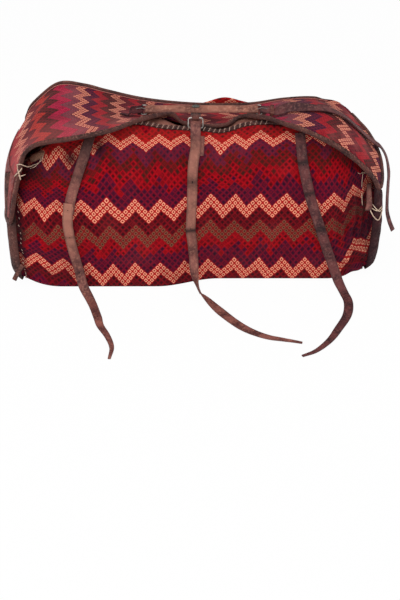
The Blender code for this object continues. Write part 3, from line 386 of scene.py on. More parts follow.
def body_line(x):
    """The outline of the body at each x: front profile, flat underside and back profile, by height.

    Each side is its bulge times a smooth profile, its rim height times the profile's height share.
    """
    share = x / HALF
    front = smooth(FRONT_PROFILE, SIDE)[:, :, None]
    back = smooth(BACK_PROFILE, SIDE)[:, :, None]
    front_height = MOUTH_HEIGHT + read_curve(FRONT_RIM, share)
    hump = BACK_HUMP * np.exp(-((share - HUMP_PLACE) / HUMP_SPREAD) ** 2)
    back_height = MOUTH_HEIGHT + read_curve(BACK_RIM, share) + hump
    full = 1.0 - RIGHT_SLACK * ease(share, *SLACK_SPAN)
    sag = FRONT_SAG * ease(share, *SAG_SPAN) * np.maximum(1.0 - front[:, 1], 0.0) ** 1.5
    front_line = np.stack((-MOUTH_FRONT - FRONT_BULGE * full * front[:, 0] + sag,
                           front_height * np.maximum(front[:, 1], 0.0)), axis=-1)
    back_line = np.stack((MOUTH_BACK + BACK_BULGE * back[:, 0] + 0.0 * share,
                          back_height * np.maximum(back[:, 1], 0.0)), axis=-1)
    inner = np.linspace(0.0, 1.0, UNDER + 1)[1:-1, None, None]
    bottom = front_line[-1] + (back_line[-1] - front_line[-1]) * inner
    line = np.concatenate((front_line, bottom, back_line[::-1]))
    beyond = ease(abs(share), LIFT_START, 1.0)
    lift = np.where(share < 0, LEFT_LIFT, RIGHT_LIFT) * beyond ** 1.6
    line[..., 1] += lift * (1.0 - ease(line[..., 1] / MOUTH_HEIGHT, 0.0, LIFT_SHARE))
    return line


def line_outward(line):
    """Outward directions of the body's outlines: each outline's own direction turned a quarter."""
    along = unit(np.gradient(line, axis=0))
    out = np.stack((along[..., 1], -along[..., 0]), axis=-1)
    return np.where(out[:1, :, :1] < 0.0, out, -out)


def body_surface():
    """The body as outlines placed along the bag, drawn in round a quarter turn at both ends."""
    straight = HALF - CORNER_RADIUS * math.sin(CORNER_SWEEP)
    angles = np.linspace(0.0, CORNER_SWEEP, CORNER + 1)[1:]
    middle = np.linspace(-straight, straight, LONG + 1)
    ends = straight + CORNER_RADIUS * np.sin(angles)
    drawn = CORNER_RADIUS * (1.0 - np.cos(angles))
    x = np.concatenate((-ends[::-1], middle, ends))
    inset = np.concatenate((drawn[::-1], np.zeros(len(middle)), drawn))
    line = body_line(x)
    centre = (line[0, :, 0] + line[-1, :, 0]) / 2.0
    line[..., 0] = centre + (line[..., 0] - centre) * (1.0 - inset / HALF_DEPTH)
    line[..., 1] += inset * (1.0 - ease(line[..., 1] / MOUTH_HEIGHT, 0.0, DRAWN_SHARE))
    grid = np.concatenate((np.broadcast_to(x[None, :, None], (*line.shape[:2], 1)), line), axis=-1)
    normal = unit(np.cross(np.gradient(grid, axis=1), np.gradient(grid, axis=0)))
    if normal[SIDE // 2, len(x) // 2, 1] > 0.0:
        normal = -normal
    return grid, normal


BODY, BODY_OUT = body_surface()
CROSSING = BODY.shape[1]

# How far the cloth sinks below its full outline: broad soft hollows, small puckers towards the corners,
# and upright gathers low on the right where the end is drawn together. Hollows: depth, size and seed.
HOLLOWS = ((0.0022, 0.110, 3), (0.0009, 0.037, 5))
PUCKER_DEPTH = 0.0032
PUCKER_PITCH = 0.055
GATHER_DEPTH = 0.0050
GATHER_PITCH = 0.021
share_long = BODY[..., 0] / HALF
high = BODY[..., 2] / MOUTH_HEIGHT
spread = np.stack((BODY[..., 0], BODY[..., 2] + 0.6 * BODY[..., 1]), axis=-1)
hollow = sum(depth * (1.0 + lumps(spread, size, seed)) for depth, size, seed in HOLLOWS)
near_end = ease(abs(share_long), 0.62, 0.92) * (1.0 - ease(abs(share_long), 0.955, 0.99))
slanted = 2 * math.pi * (spread[..., 0] * 0.35 + spread[..., 1]) / PUCKER_PITCH
hollow = hollow + PUCKER_DEPTH * near_end * (1.0 + np.sin(slanted + 3.0 * lumps(spread, 0.12, 9)))
gather = ease(share_long, 0.70, 0.80) * (1.0 - ease(share_long, 0.90, 0.97))
gather = gather * ease(high, 0.22, 0.36) * (1.0 - ease(high, 0.55, 0.72)) * (BODY[..., 1] < 0.0)
upright = 2 * math.pi * BODY[..., 0] / GATHER_PITCH
hollow = hollow + GATHER_DEPTH * gather * (1.0 + np.sin(upright + 2.0 * lumps(spread, 0.05, 12)))
resting = ease(BODY[..., 2], 0.002, 0.03)
edge_hold = (1.0 - ease(abs(share_long), 0.93, 0.975)) * resting
CLOTH_FACE = BODY - BODY_OUT * (hollow * edge_hold)[..., None]
CLOTH_BACK = CLOTH_FACE - BODY_OUT * CLOTH

# Where each point lies in the pattern: the distance along and round the cloth from the middle of its
# lower folds. The real cloth is uneven, so the pattern is shifted in places and wanders a little.
# Each shift: metres, then the shares along, and of the height, between which it comes in.
ALWAYS = (-2.0, -1.0)
PATTERN_SHIFTS = (
    (0.042, -0.44, -0.66, 0.55, 0.80), (-0.030, -0.50, -0.88, 0.40, 0.14),
    (0.011, *ALWAYS, 0.62, 0.80), (-0.016, 0.02, -0.13, 0.62, 0.80), (-0.019, 0.13, 0.36, 0.62, 0.80),
    (0.0095, -0.20, 0.10, 0.35, 0.10), (-0.055, 0.72, 0.98, *ALWAYS), (0.0275, 0.72, 0.98, 0.45, 0.75))
WANDERING = ((0.007, 0.13, 61), (0.003, 0.045, 62))
ROW_WANDER = 0.004
middle_row = SIDE + UNDER // 2
run_long = distance(BODY, axis=1)
run_long = run_long - run_long[:, CROSSING // 2:CROSSING // 2 + 1]
run_round = distance(BODY, axis=0)
up_front = run_round[SIDE] - run_round
up_back = run_round - run_round[SIDE + UNDER]
height_run = np.where(np.arange(len(BODY))[:, None] <= middle_row, up_front, up_back)
woven_run = np.sign(height_run) * np.interp(abs(height_run), *np.array(WOVEN_HEIGHT).T)
on_front = (np.arange(len(BODY)) <= SIDE)[:, None]
shifted = sum(amount * ease(share_long, left, right) * ease(high, low, top)
              for amount, left, right, low, top in PATTERN_SHIFTS)
woven_run = woven_run + shifted * on_front + ROW_WANDER * lumps(spread, 0.11, 63)
wandering = sum(reach * lumps(spread, size, seed) for reach, size, seed in WANDERING)
CLOTH_SPOTS = np.stack((run_long + wandering, woven_run), axis=-1)

# Painted shade on the front: the gaps under the lid's left end, the gap beside the left end strip, the
# gathers and hollow at the right end, and a band along the top under the lid's edge. Each: x, height,
# reach along, reach up and amount.
SHADED = ((-0.300, 0.352, 0.020, 0.024, 0.92), (-0.230, 0.376, 0.013, 0.022, 0.92),
          (-0.410, 0.325, 0.045, 0.050, 0.72), (-0.440, 0.150, 0.013, 0.150, 0.92),
          (0.445, 0.190, 0.075, 0.130, 0.74), (0.452, 0.270, 0.014, 0.035, 0.90),
          (0.100, 0.418, 0.300, 0.012, 0.30))
cloth_soil = np.zeros(BODY.shape[:2])
for along, up, wide, tall, amount in SHADED:
    near = np.exp(-((BODY[..., 0] - along) / wide) ** 2 - ((BODY[..., 2] - up) / tall) ** 2)
    cloth_soil = np.maximum(cloth_soil, amount * near * (BODY[..., 1] < 0.0))

# Each dye set: cell ring, cell middle, dot, lattice line, and how clear the rings are.
MAROON = ((48, 8, 16), (96, 8, 20), (36, 8, 14), (142, 10, 24), 0.15)
SALMON = ((255, 178, 144), (202, 54, 44), (124, 20, 24), (180, 14, 22), 1.0)
PLUM = ((42, 10, 36), (90, 12, 44), (32, 8, 32), (136, 10, 34), 0.15)
CRIMSON = ((90, 2, 12), (156, 2, 18), (60, 4, 14), (182, 8, 22), 0.15)
KHAKI = ((132, 92, 66), (112, 38, 30), (62, 26, 22), (142, 16, 24), 0.75)
RUST = ((60, 34, 24), (100, 18, 18), (50, 28, 20), (144, 12, 20), 0.15)
LILAC = ((94, 44, 64), (96, 24, 50), (48, 16, 36), (130, 20, 40), 0.25)
BRICK = ((116, 26, 22), (170, 24, 24), (82, 30, 22), (196, 26, 28), 0.15)
FRONT_DYES = (MAROON, SALMON, PLUM, CRIMSON, KHAKI, MAROON, SALMON, PLUM, CRIMSON, RUST, LILAC, SALMON,
              BRICK, CRIMSON, PLUM)
# Bands whose edges are muddled: first, last and by how much.
MUDDLED = ((7.3, 10.7, 0.90), (2.55, 3.6, 0.45))
ZIGZAG_COLUMNS = 8.0
BAND_ROWS = 4.0
CELL_WANDER = 0.010
COLUMN_WANDER = 40.0
THREAD_SHADOW = dye(62, 8, 18)
DEEP_SHADOW = dye(30, 6, 16)
BLEACHED = dye(196, 108, 106)
WORN_DARK = dye(62, 14, 22)
# The deep colour of the painted shade on the panels.
WOOL_PAINTED_SHADE = dye(26, 10, 18)


def woven(name, dyes, cell_long, cell_high, peak_start, band_start, turned, faded, muddled=(), restart=()):
    """Wool woven in zigzag bands of diamond cells, worked out from the cloth's own (s, t) in metres.

    Diagonals a = s/long + t/high and b = s/long - t/high; a cell is the nearest whole a/2 and b/2. Its
    column and row are their sum and difference; a triangle wave of the column, taken from the row,
    numbers the band. In a cell the larger of the two left-over parts grows from dot to ring to lattice.
    Muddled bands have cells of the next band among them; restart is a band after which the dyes jump.
    """
    wool = Finish(name, roughness=0.92)
    s, t = wool.parts(wool.node("UVMap", {"uv_map": "cloth"}))
    if turned:
        s, t = t, s
    solid = wool.solid()
    wander = (wool.noise(solid, 14.0) - 0.5) * CELL_WANDER
    s = (s - peak_start) / cell_long + wander * COLUMN_WANDER
    t = (t - band_start + wander) / cell_high
    first = (s + t) * 0.5
    second = (s - t) * 0.5
    cell_a = first.math("ROUND")
    cell_b = second.math("ROUND")
    off_a = (first - cell_a).math("ABSOLUTE")
    off_b = (second - cell_b).math("ABSOLUTE")
    column = cell_a + cell_b
    row = cell_a - cell_b
    wave = (column.math("FLOORED_MODULO", ZIGZAG_COLUMNS) - ZIGZAG_COLUMNS / 2.0).math("ABSOLUTE")
    cell = wool.node("CombineXYZ", None, {0: cell_a, 1: cell_b})
    chance = wool.node("TexWhiteNoise", {"noise_dimensions": "2D"}, {"Vector": cell})
    band = (row - wave) / BAND_ROWS
    for low, high, share in muddled:
        within = band.ease(low, low + 0.4) * (1.0 - band.ease(high - 0.4, high))
        band = band + (chance - 0.5) * within * share
    band = band.math("FLOOR")
    if restart:
        band = band + band.math("GREATER_THAN", restart[0]) * restart[1]
    count = len(dyes)
    chosen = (band + 0.5).math("FLOORED_MODULO", count * 1.0) / count

    def ramp(k):
        """The chosen band's colour for one part of a cell."""
        stops = [(n / count, dye(*entry[k])) for n, entry in enumerate(dyes)]
        return wool.node("ValToRGB", {"stepped": True, "stops": stops}, {0: chosen})

    ring, fill, dot, line = (ramp(k) for k in range(4))
    clear = [(n / count, (entry[4],) * 3 + (1.0,)) for n, entry in enumerate(dyes)]
    ring_clear = wool.node("ValToRGB", {"stepped": True, "stops": clear}, {0: chosen})
    other = wool.node("TexWhiteNoise", {"noise_dimensions": "2D"}, {"Vector": cell}, out="Color")
    other = wool.parts(other)[1]
    halves = {0: (first * 2.0).math("ROUND"), 1: (second * 2.0).math("ROUND")}
    quarter = wool.node("CombineXYZ", None, halves)
    speck = wool.node("TexWhiteNoise", {"noise_dimensions": "2D"}, {"Vector": quarter})
    long_part = off_a.math("MAXIMUM", off_b)
    round_part = (off_a * off_a + off_b * off_b).math("SQRT")
    apart = long_part * 0.55 + round_part * 0.45
    on_line = long_part.ease(0.34, 0.40)
    on_ring = apart.ease(0.17, 0.23) * (1.0 - apart.ease(0.34, 0.40))
    on_dot = 1.0 - apart.ease(0.08, 0.14)
    ringed = wool.mix(on_dot, wool.mix(on_ring, fill, ring), dot)
    on_core = 1.0 - apart.ease(0.16, 0.28)
    speckled = wool.mix(on_core * (0.35 + other * 0.40) + speck.ease(0.35, 0.75) * 0.45, fill, dot)
    speckled = wool.mix((1.0 - speck.ease(0.08, 0.16)) * 0.5, speckled, line)
    colour = wool.mix(ring_clear, speckled, ringed)
    colour = wool.mix(on_line * (0.40 + other * 0.35 + ring_clear * 0.25), colour, line)
    colour = wool.mix(chance.ease(0.70, 1.0) * (0.22 - ring_clear * 0.12), colour, DEEP_SHADOW)
    fuzz = wool.noise(solid, 900.0, 3.0, 0.7)
    patch = wool.noise(solid, 9.0, 4.0, 0.6)
    colour = wool.mix((fuzz - 0.35).math("MAXIMUM", 0.0) * 0.75, colour, THREAD_SHADOW)
    colour = wool.mix(patch.ease(0.50, 0.78) * faded + wool.mark("fade"), colour, BLEACHED)
    colour = wool.mix((1.0 - patch.ease(0.28, 0.48)) * 0.35, colour, WORN_DARK)
    # Painted shade: the marked places darken towards a deep purple-red.
    colour = wool.mix(wool.mark("soil"), colour, WOOL_PAINTED_SHADE)
    relief = (1.0 - long_part * 1.7) * 0.7 + fuzz * 0.6
    bump = wool.node("Bump", None, {"Height": relief, "Strength": 0.7, "Distance": 0.0014})
    return wool.done(Base_Color=colour, Normal=bump, Sheen_Weight=0.04, Sheen_Roughness=0.5,
                     Specular_IOR_Level=0.08)


panel_wool = woven("woven_wool", FRONT_DYES, CELL_LONG, CELL_HIGH, PEAK_START, BAND_START, False, 0.05,
                   MUDDLED)


def fit(piece, slot, *nodes):
    """Put a piece on the bag, in the place of its CAD nodes; slot is not used."""
    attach(piece, "bag")
    if nodes:
        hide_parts(*nodes)


def seam_cut(grid, first, last):
    """The grid with its first or last row drawn in along the cloth by the seam gap."""
    grid = grid.copy()
    if first:
        grid[0] += unit(grid[1] - grid[0]) * SEAM_GAP
    if last:
        grid[-1] += unit(grid[-2] - grid[-1]) * SEAM_GAP
    return grid


# Each panel keeps its share of the painted shade as a mark on its points.
for panel, rows, first, last in (("front_panel", slice(0, SIDE + 1), False, True),
                                 ("bottom_panel", slice(SIDE, SIDE + UNDER + 1), True, True),
                                 ("back_panel", slice(SIDE + UNDER, None), True, False)):
    made = cloth_skin(panel + "_wool", seam_cut(CLOTH_FACE[rows], first, last),
                      seam_cut(CLOTH_BACK[rows], first, last), panel_wool, CLOTH_SPOTS[rows],
                      soil=cloth_soil[rows])
    fit(made, "woven_wool", panel)

# The two end panels: the same hand-woven wool, cut to the outline of the end, sewn in flat under the
# leather strips that cover its seam, and pushed out at its middle by what is inside.
END_BORDER = 0.018
END_BULGE = 0.022
END_ACROSS = 90
END_DENT = 0.0030
END_TOP = 0.25
EDGE_TURN = CORNER_SWEEP * 0.875


def end_wool(name, node, column, side):
    """A panel ruled between the front and back outlines, pushed out by a sine across and a power down."""
    line = BODY[:, column, 1:]
    out = line_outward(BODY[:, :, 1:])[:, column]
    edge = line - out * (CLOTH * math.cos(EDGE_TURN) + SEAM_GAP)
    front = edge[:SIDE + 1]
    back = edge[::-1][:SIDE + 1]
    front[0, 1], back[0, 1] = line[0, 1], line[-1, 1]
    w = np.linspace(0.0, 1.0, END_ACROSS + 1)[None, :, None]
    flat = front[:, None] * (1.0 - w) + back[:, None] * w
    width = np.linalg.norm(back - front, axis=-1)[:, None]
    inside = np.clip((w[..., 0] * width - END_BORDER) / (width - 2 * END_BORDER), 0.0, 1.0)
    down = np.linspace(0.0, 1.0, SIDE + 1)[:, None]
    top_held = END_TOP + (1.0 - END_TOP) * ease(down, 0.0, 0.35)
    rise = END_BULGE * np.sin(math.pi * inside) ** 0.7 * (1.0 - down ** 2.5) * top_held
    off_edge = ease(inside, 0.0, 0.25) * ease(1.0 - inside, 0.0, 0.25)
    dents = END_DENT * (1.0 + lumps(flat, 0.07, 21 + column)) * off_edge
    x = BODY[0, column, 0] + side * np.maximum(rise - dents * (1.0 - down ** 4), 0.0)
    outer = np.concatenate((x[..., None], flat), axis=-1)
    inner = outer - np.array((side * CLOTH, 0.0, 0.0))
    spots = np.stack((flat[..., 0], woven_run[:SIDE + 1, column][:, None] + 0.0 * x), axis=-1)
    made = cloth_skin(name, outer, inner, panel_wool, spots)
    fit(made, "woven_wool", node)


end_wool("left_end_wool", "left_end_panel", 0, -1.0)
end_wool("right_end_wool", "right_end_panel", CROSSING - 1, 1.0)

# The leather strips folded over both end seams: three millimetres of soft, greasy brown hide, sewn
# through. The right one is darker, partly a stained hide and partly painted shade, and is more ragged.
LEATHER = 0.0030
TOUCH_GAP = 0.0004
HOLE_REACH = 0.010
HOLE_RADIUS = 0.0015
BINDING_FACE = 0.014
CORNER_REACH = 12
STRAP_WIDTH = 0.025
# The colour the hide darkens towards where marked: grime on the end strips, painted shade elsewhere.
HIDE_SOIL_AND_SHADE = dye(30, 18, 20)
HOLE_DARK = dye(14, 8, 10)


def leather(name, middle, dark, light, gloss=0.22):
    """Worn hide: blotches of dark and light, painted shade at the edges, fine grain, and where marked,
    grime, painted shade and punched holes painted as dark spots.

    The cloth map holds the distance along and the share across, so the edges are where |t| nears 1. The
    hole mark is 1 at a hole and falls to 0 at HOLE_REACH from it along the strap.
    """
    hide = Finish(name)
    solid = hide.solid()
    places = hide.node("UVMap", {"uv_map": "cloth"})
    across = hide.parts(places)[1]
    broad = hide.noise(solid, 26.0, 4.0, 0.6)
    small = hide.noise(solid, 170.0, 3.0, 0.6)
    pores = hide.node("TexVoronoi", {"feature": "F1"}, {"Vector": solid, "Scale": 900.0})
    colour = hide.mix(broad.ease(0.36, 0.60), dark, middle)
    colour = hide.mix(small.ease(0.46, 0.72) * 0.55, colour, light)
    colour = hide.mix(hide.mark("fade"), colour, light)
    # Painted shade along both edges of a piece, broken up by the small blotches.
    shaded_edge = across.math("ABSOLUTE").ease(0.55, 0.95) * small.ease(0.30, 0.55)
    colour = hide.mix(shaded_edge * 0.6, colour, dark)
    greasy = hide.noise(solid, 11.0, 3.0, 0.6)
    colour = hide.mix(greasy.ease(0.52, 0.66) * 0.5, colour, dark)
    drawn = hide.node("VectorMath", {"operation": "MULTIPLY"}, {0: places, 1: (60.0, 9.0, 0.0)})
    scratch = hide.noise(drawn, 6.0, 3.0, 0.7)
    colour = hide.mix(scratch.ease(0.56, 0.70) * 0.45, colour, light)
    # Grime and painted shade, as marked on each piece.
    colour = hide.mix(hide.mark("soil"), colour, HIDE_SOIL_AND_SHADE)
    # The punched holes are painted as dark spots, the shade inside a hole.
    beside = across * (STRAP_WIDTH / 2.0)
    along = (1.0 - hide.mark("hole")) * HOLE_REACH
    punched = 1.0 - (beside * beside + along * along).math("SQRT").ease(HOLE_RADIUS * 0.7, HOLE_RADIUS * 1.3)
    colour = hide.mix(punched, colour, HOLE_DARK)
    height = broad * 0.5 + small * 0.6 + pores * 0.25
    bump = hide.node("Bump", None, {"Height": height, "Strength": 0.5, "Distance": 0.0012})
    worn = 0.72 - small.ease(0.4, 0.7) * 0.22
    return hide.done(Base_Color=colour, Normal=bump, Roughness=worn, Specular_IOR_Level=gloss)


dark_hide = leather("dark_leather", dye(98, 56, 50), dye(50, 31, 31), dye(156, 106, 92), gloss=0.14)
# Darker hide for the right end strip and the left buckle tab; on the right end part of its darkness is
# painted shade.
stained_and_shaded_hide = leather("stained_and_shaded_leather", dye(72, 34, 38), dye(40, 18, 24), dye(104, 56, 54), gloss=0.08)


def tube_quads(count, around):
    """The faces of a solid of count sections of an even number of points, its ends closed across."""
    corner = np.arange(count - 1)[:, None] * around
    k = np.arange(around)
    after = (k + 1) % around
    quads = np.stack((corner + k, corner + after, corner + around + after, corner + around + k), axis=-1)
    half = np.arange(around // 2 - 1)
    cap = np.stack((half, half + 1, around - 2 - half, around - 1 - half), axis=-1)
    return np.vstack((quads.reshape(-1, 4), cap[:, ::-1], cap + (count - 1) * around))


def tube_skin(name, sections, finish, spots, **marks):
    """A solid through closed sections, each mark one value to the section."""
    count, around = sections.shape[:2]
    marks = {key: np.repeat(np.ravel(value), around) for key, value in marks.items()}
    return put_mesh(name, sections, tube_quads(count, around), finish, spots, **marks)


def swept_spots(along, across):
    """The (s, t) of each point of a swept piece: its distance along and its place across."""
    return np.stack(np.broadcast_arrays(along[..., None], across), axis=-1)


def end_strip(name, node, column, side, finish, rubbing):
    """The strip's closed section: over the body's corner, down on the end face, and back under itself."""
    span = [column - int(side) * k for k in range(CORNER_REACH, -1, -1)]
    line = BODY[:, column, 1:]
    out = line_outward(BODY[:, :, 1:])[:, column]
    rubbed = rubbing * (1.0 + lumps(BODY[:, span], 0.016, 31))[..., None]
    under = BODY[:, span] + BODY_OUT[:, span] * TOUCH_GAP
    over = BODY[:, span] + BODY_OUT[:, span] * (TOUCH_GAP + LEATHER - rubbed)
    inset = line - out * BINDING_FACE
    inset[0, 1], inset[-1, 1] = line[0, 1], line[-1, 1]
    face = BODY[0, column, 0] + side * TOUCH_GAP
    lip = np.column_stack((np.full(len(line), face), inset))
    lip_over = lip + np.array((side * LEATHER, 0.0, 0.0))
    low_lip = lip * 0.5 + under[:, -1] * 0.5
    high_lip = lip_over * 0.5 + over[:, -1] * 0.5
    lips = np.stack((low_lip, lip, lip_over, high_lip), axis=1)
    sections = np.concatenate((under, lips, over[:, ::-1]), axis=1)
    across = np.concatenate((np.linspace(-1, 0.4, len(span)), (0.7, 1.0, 1.0, 0.7),
                             np.linspace(0.4, -1, len(span))))
    run = distance(over[:, -1], axis=0)
    grime = 0.25 + 0.5 * ease(lumps(np.column_stack((run, run * 0.0)), 0.05, 33), -0.2, 0.5)
    made = tube_skin(name, sections, finish, swept_spots(run, across), soil=grime * 0.85)
    fit(made, "dark_leather", node)


end_strip("left_end_strip", "left_end_binding", 0, -1.0, dark_hide, 0.0005)
end_strip("right_end_strip", "right_end_binding", CROSSING - 1, 1.0, stained_and_shaded_hide, 0.0012)

# The leather trim rolled over the front of the mouth. It is full where it shows between the lid's two
# lips and thin under the lid; its whipping is made with the rest of the sewing.
EDGE_GAP = 0.0014
TRIM_WIDTH = 0.0085
TRIM_THIN = 0.0045
TRIM_SPAN = (-0.30, 0.36)
TRIM_FADE = 0.1
TRIM_HALF = 0.0034


def bead_sections(rim, inward, normal, width, half, wear, seed):
    """A rolled edge along a row of cloth points, wear saying how much it wanders in thickness.

    The section is a flattened circle, its cosine and sine squared off a little by powers under 1.
    """
    along = unit(np.gradient(rim, axis=0))
    away = unit(np.cross(normal, along))
    away *= -np.sign(np.sum(away * inward, axis=1, keepdims=True))
    turn = np.linspace(0.0, 2.0 * math.pi, 17)[:-1] + math.pi / 16.0
    run = distance(rim)
    size = 1.0 + wear * lumps(np.column_stack((run, run * 0.0)), 0.02, seed)
    reach = (0.5 + 0.5 * np.sign(np.cos(turn)) * abs(np.cos(turn)) ** 0.75)[None] * np.reshape(width, (-1, 1))
    rise = (np.sign(np.sin(turn)) * abs(np.sin(turn)) ** 0.8)[None] * half * size[:, None]
    sections = ((rim + away * EDGE_GAP)[:, None] + away[:, None] * reach[..., None]
                + unit(normal)[:, None] * rise[..., None])
    across = np.broadcast_to(reach / np.reshape(width, (-1, 1)) * 2.0 - 1.0, rise.shape)
    return sections, swept_spots(run, across)


trim_span = slice(CORNER - 4, CROSSING - CORNER + 4)
rim = (CLOTH_FACE - BODY_OUT * CLOTH / 2.0)[:, trim_span]
rim_share = rim[0, :, 0] / HALF
shown = ease(rim_share, TRIM_SPAN[0] - TRIM_FADE, TRIM_SPAN[0])
shown = shown * (1.0 - ease(rim_share, TRIM_SPAN[1], TRIM_SPAN[1] + TRIM_FADE))
trim_width = TRIM_THIN + (TRIM_WIDTH - TRIM_THIN) * shown
TRIM_ROLL, spots = bead_sections(rim[0], rim[1] - rim[0], BODY_OUT[0, trim_span], trim_width, TRIM_HALF,
                                 0.10, 41)
# The trim is darkened by 0.2 along its length and by 0.5 where it runs under the lid; the extra is painted
# shade.
mouth_trim = tube_skin("mouth_trim", TRIM_ROLL, dark_hide, spots, soil=0.5 - 0.3 * shown)
fit(mouth_trim, "dark_leather", "mouth_binding")

# The lid: one sheet of the same weave turned a quarter, so its zigzags run from back to front. It is
# sewn to the back panel, rises at the back left corner, sags into the mouth and curls over both fronts.
FLAP_DROP = 0.0015
FLAP_SEAM_GAP = 0.0010
# The back seam's two ends as shares along; crest and front edge as (share along, y, rise over the mouth).
FLAP_BACK = (-0.975, 0.82)
FLAP_CREST = ((-1.062, -0.020, -0.225), (-1.045, -0.020, -0.142), (-1.012, -0.020, -0.096),
              (-0.968, -0.020, -0.070), (-0.915, -0.020, -0.042), (-0.81, -0.020, 0.010),
              (-0.64, -0.022, 0.024), (-0.33, -0.030, 0.006), (-0.06, 0.000, -0.008),
              (0.15, 0.010, -0.010), (0.36, -0.030, 0.000), (0.53, -0.030, 0.021),
              (0.74, -0.022, 0.014), (0.972, -0.020, -0.076))
FLAP_FRONT = ((-0.965, -0.176, -0.208), (-0.940, -0.168, -0.150), (-0.908, -0.160, -0.094),
              (-0.880, -0.156, -0.052), (-0.825, -0.158, -0.024), (-0.75, -0.161, -0.008),
              (-0.60, -0.162, 0.004), (-0.42, -0.152, 0.018), (-0.29, -0.122, 0.028),
              (-0.20, -0.090, 0.025), (-0.135, -0.066, 0.016), (-0.06, -0.078, 0.005),
              (0.04, -0.084, 0.001), (0.15, -0.083, 0.002), (0.235, -0.074, 0.016),
              (0.34, -0.113, 0.031), (0.45, -0.142, 0.029), (0.56, -0.160, 0.019),
              (0.70, -0.163, -0.012), (0.82, -0.160, -0.053), (0.92, -0.152, -0.102),
              (0.96, -0.146, -0.132))
FLAP_LONG = 300
FLAP_DEEP = 90
LID_HOLLOWS = ((0.0020, 0.085, 51), (0.0008, 0.030, 52))
LID_CELL_LONG = 0.0059
LID_CELL_DEEP = 0.0066
LID_BAND_START = -0.561
LID_BLEACH = (0.34, 0.20)
# Rows of the pattern: (distance along the lid from its middle, place in the pattern).
LID_WOVEN = ((-0.60, -0.50), (-0.24, -0.24), (0.0, 0.0), (0.60, 0.492))


def lid_surface():
    """The lid as a parabola from the back seam over the crest to the front edge, at each place along."""
    crest = smooth(np.array(FLAP_CREST) * (HALF, 1.0, 1.0), 600)
    run = distance(crest)
    even = np.interp(np.linspace(0.0, run[-1], FLAP_LONG + 1), run, crest[:, 0])
    even = (even - even[0]) / (even[-1] - even[0])
    shares = FLAP_BACK[0] + (FLAP_BACK[1] - FLAP_BACK[0]) * even
    reach = np.full(len(shares), MOUTH_BACK - CLOTH - FLAP_SEAM_GAP)
    lines = [np.column_stack((shares * HALF, reach, read_curve(BACK_RIM, shares) - FLAP_DROP))]
    for table in (FLAP_CREST, FLAP_FRONT):
        table = np.array(table)
        shares = table[0, 0] + (table[-1, 0] - table[0, 0]) * even
        lines.append(np.column_stack((shares * HALF, read_curve(table[:, :2], shares),
                                      read_curve(table[:, ::2], shares))))
    back, crest, front = (line + np.array((0.0, 0.0, MOUTH_HEIGHT)) for line in lines)
    t = np.linspace(0.0, 1.0, FLAP_DEEP + 1)[None, :, None]
    grid = (back[:, None] * (2 * t - 1) * (t - 1) + crest[:, None] * 4 * t * (1 - t)
            + front[:, None] * t * (2 * t - 1))
    normal = unit(np.cross(np.gradient(grid, axis=0), np.gradient(grid, axis=1)))
    return grid, np.where(normal[FLAP_LONG // 2, FLAP_DEEP // 2, 2] < 0.0, -1.0, 1.0) * normal


LID, LID_UP = lid_surface()
# The hollows start from nothing at the back seam and are shallower at the front edge.
deep = np.linspace(0.0, 1.0, FLAP_DEEP + 1)[None]
held = ease(deep, 0.0, 0.12) * (1.0 - 0.6 * ease(deep, 0.8, 1.0))
sink = held * sum(depth * (1.0 + lumps(LID[..., :2], size, seed)) for depth, size, seed in LID_HOLLOWS)
LID_FACE = LID - LID_UP * sink[..., None]
lid_along = distance(LID, axis=0)
lid_along = lid_along - lid_along[FLAP_LONG // 2]
lid_deep = distance(LID, axis=1)
lid_spots = np.stack((np.interp(lid_along, *np.array(LID_WOVEN).T), lid_deep), axis=-1)
PALE = ((255, 176, 144), (196, 60, 54), (110, 20, 28), (92, 12, 24), 1.0)
FLAME = ((224, 80, 60), (196, 50, 42), (120, 22, 28), (124, 24, 30), 0.5)
OLIVE = ((70, 44, 34), (84, 34, 32), (40, 20, 20), (118, 28, 36), 0.25)
PINK = ((214, 44, 86), (186, 28, 66), (110, 14, 38), (130, 24, 46), 0.5)
DUSTY = ((142, 94, 98), (124, 58, 70), (72, 30, 44), (130, 42, 58), 0.4)
GRAPE = ((58, 26, 56), (76, 20, 50), (40, 12, 34), (114, 26, 50), 0.2)
CHERRY = ((204, 44, 52), (176, 26, 38), (96, 12, 24), (124, 22, 34), 0.45)
WINE = ((70, 14, 26), (100, 18, 30), (48, 8, 18), (122, 26, 38), 0.2)
LID_DYES = (DUSTY, PALE, WINE, CHERRY, PALE, OLIVE, WINE, CHERRY, PALE, WINE, FLAME, OLIVE, PINK, DUSTY,
            PALE, GRAPE, CHERRY, OLIVE, PALE, WINE, CHERRY, OLIVE, PALE, GRAPE, CHERRY, WINE, PALE,
            GRAPE, DUSTY, CHERRY, PALE)
# After this band the order of dyes jumps on by this many.
LID_RESTART = (26.5, 10.0)
lid_wool = woven("faded_woven_wool", LID_DYES, LID_CELL_DEEP, LID_CELL_LONG, 0.0, LID_BAND_START, True,
                 0.30, restart=LID_RESTART)
along = np.linspace(0.0, 1.0, FLAP_LONG + 1)[:, None]
bleached = LID_BLEACH[0] * (1.0 - ease(along, 0.03, 0.23))
bleached = bleached + LID_BLEACH[1] * ease(deep, 0.55, 0.90) * (1.0 - ease(along, 0.28, 0.48))
lid = cloth_skin("lid_sheet", LID_FACE + LID_UP * CLOTH / 2.0, LID_FACE - LID_UP * CLOTH / 2.0, lid_wool,
                 lid_spots, fade=bleached)
fit(lid, "faded_woven_wool", "lid_flap")

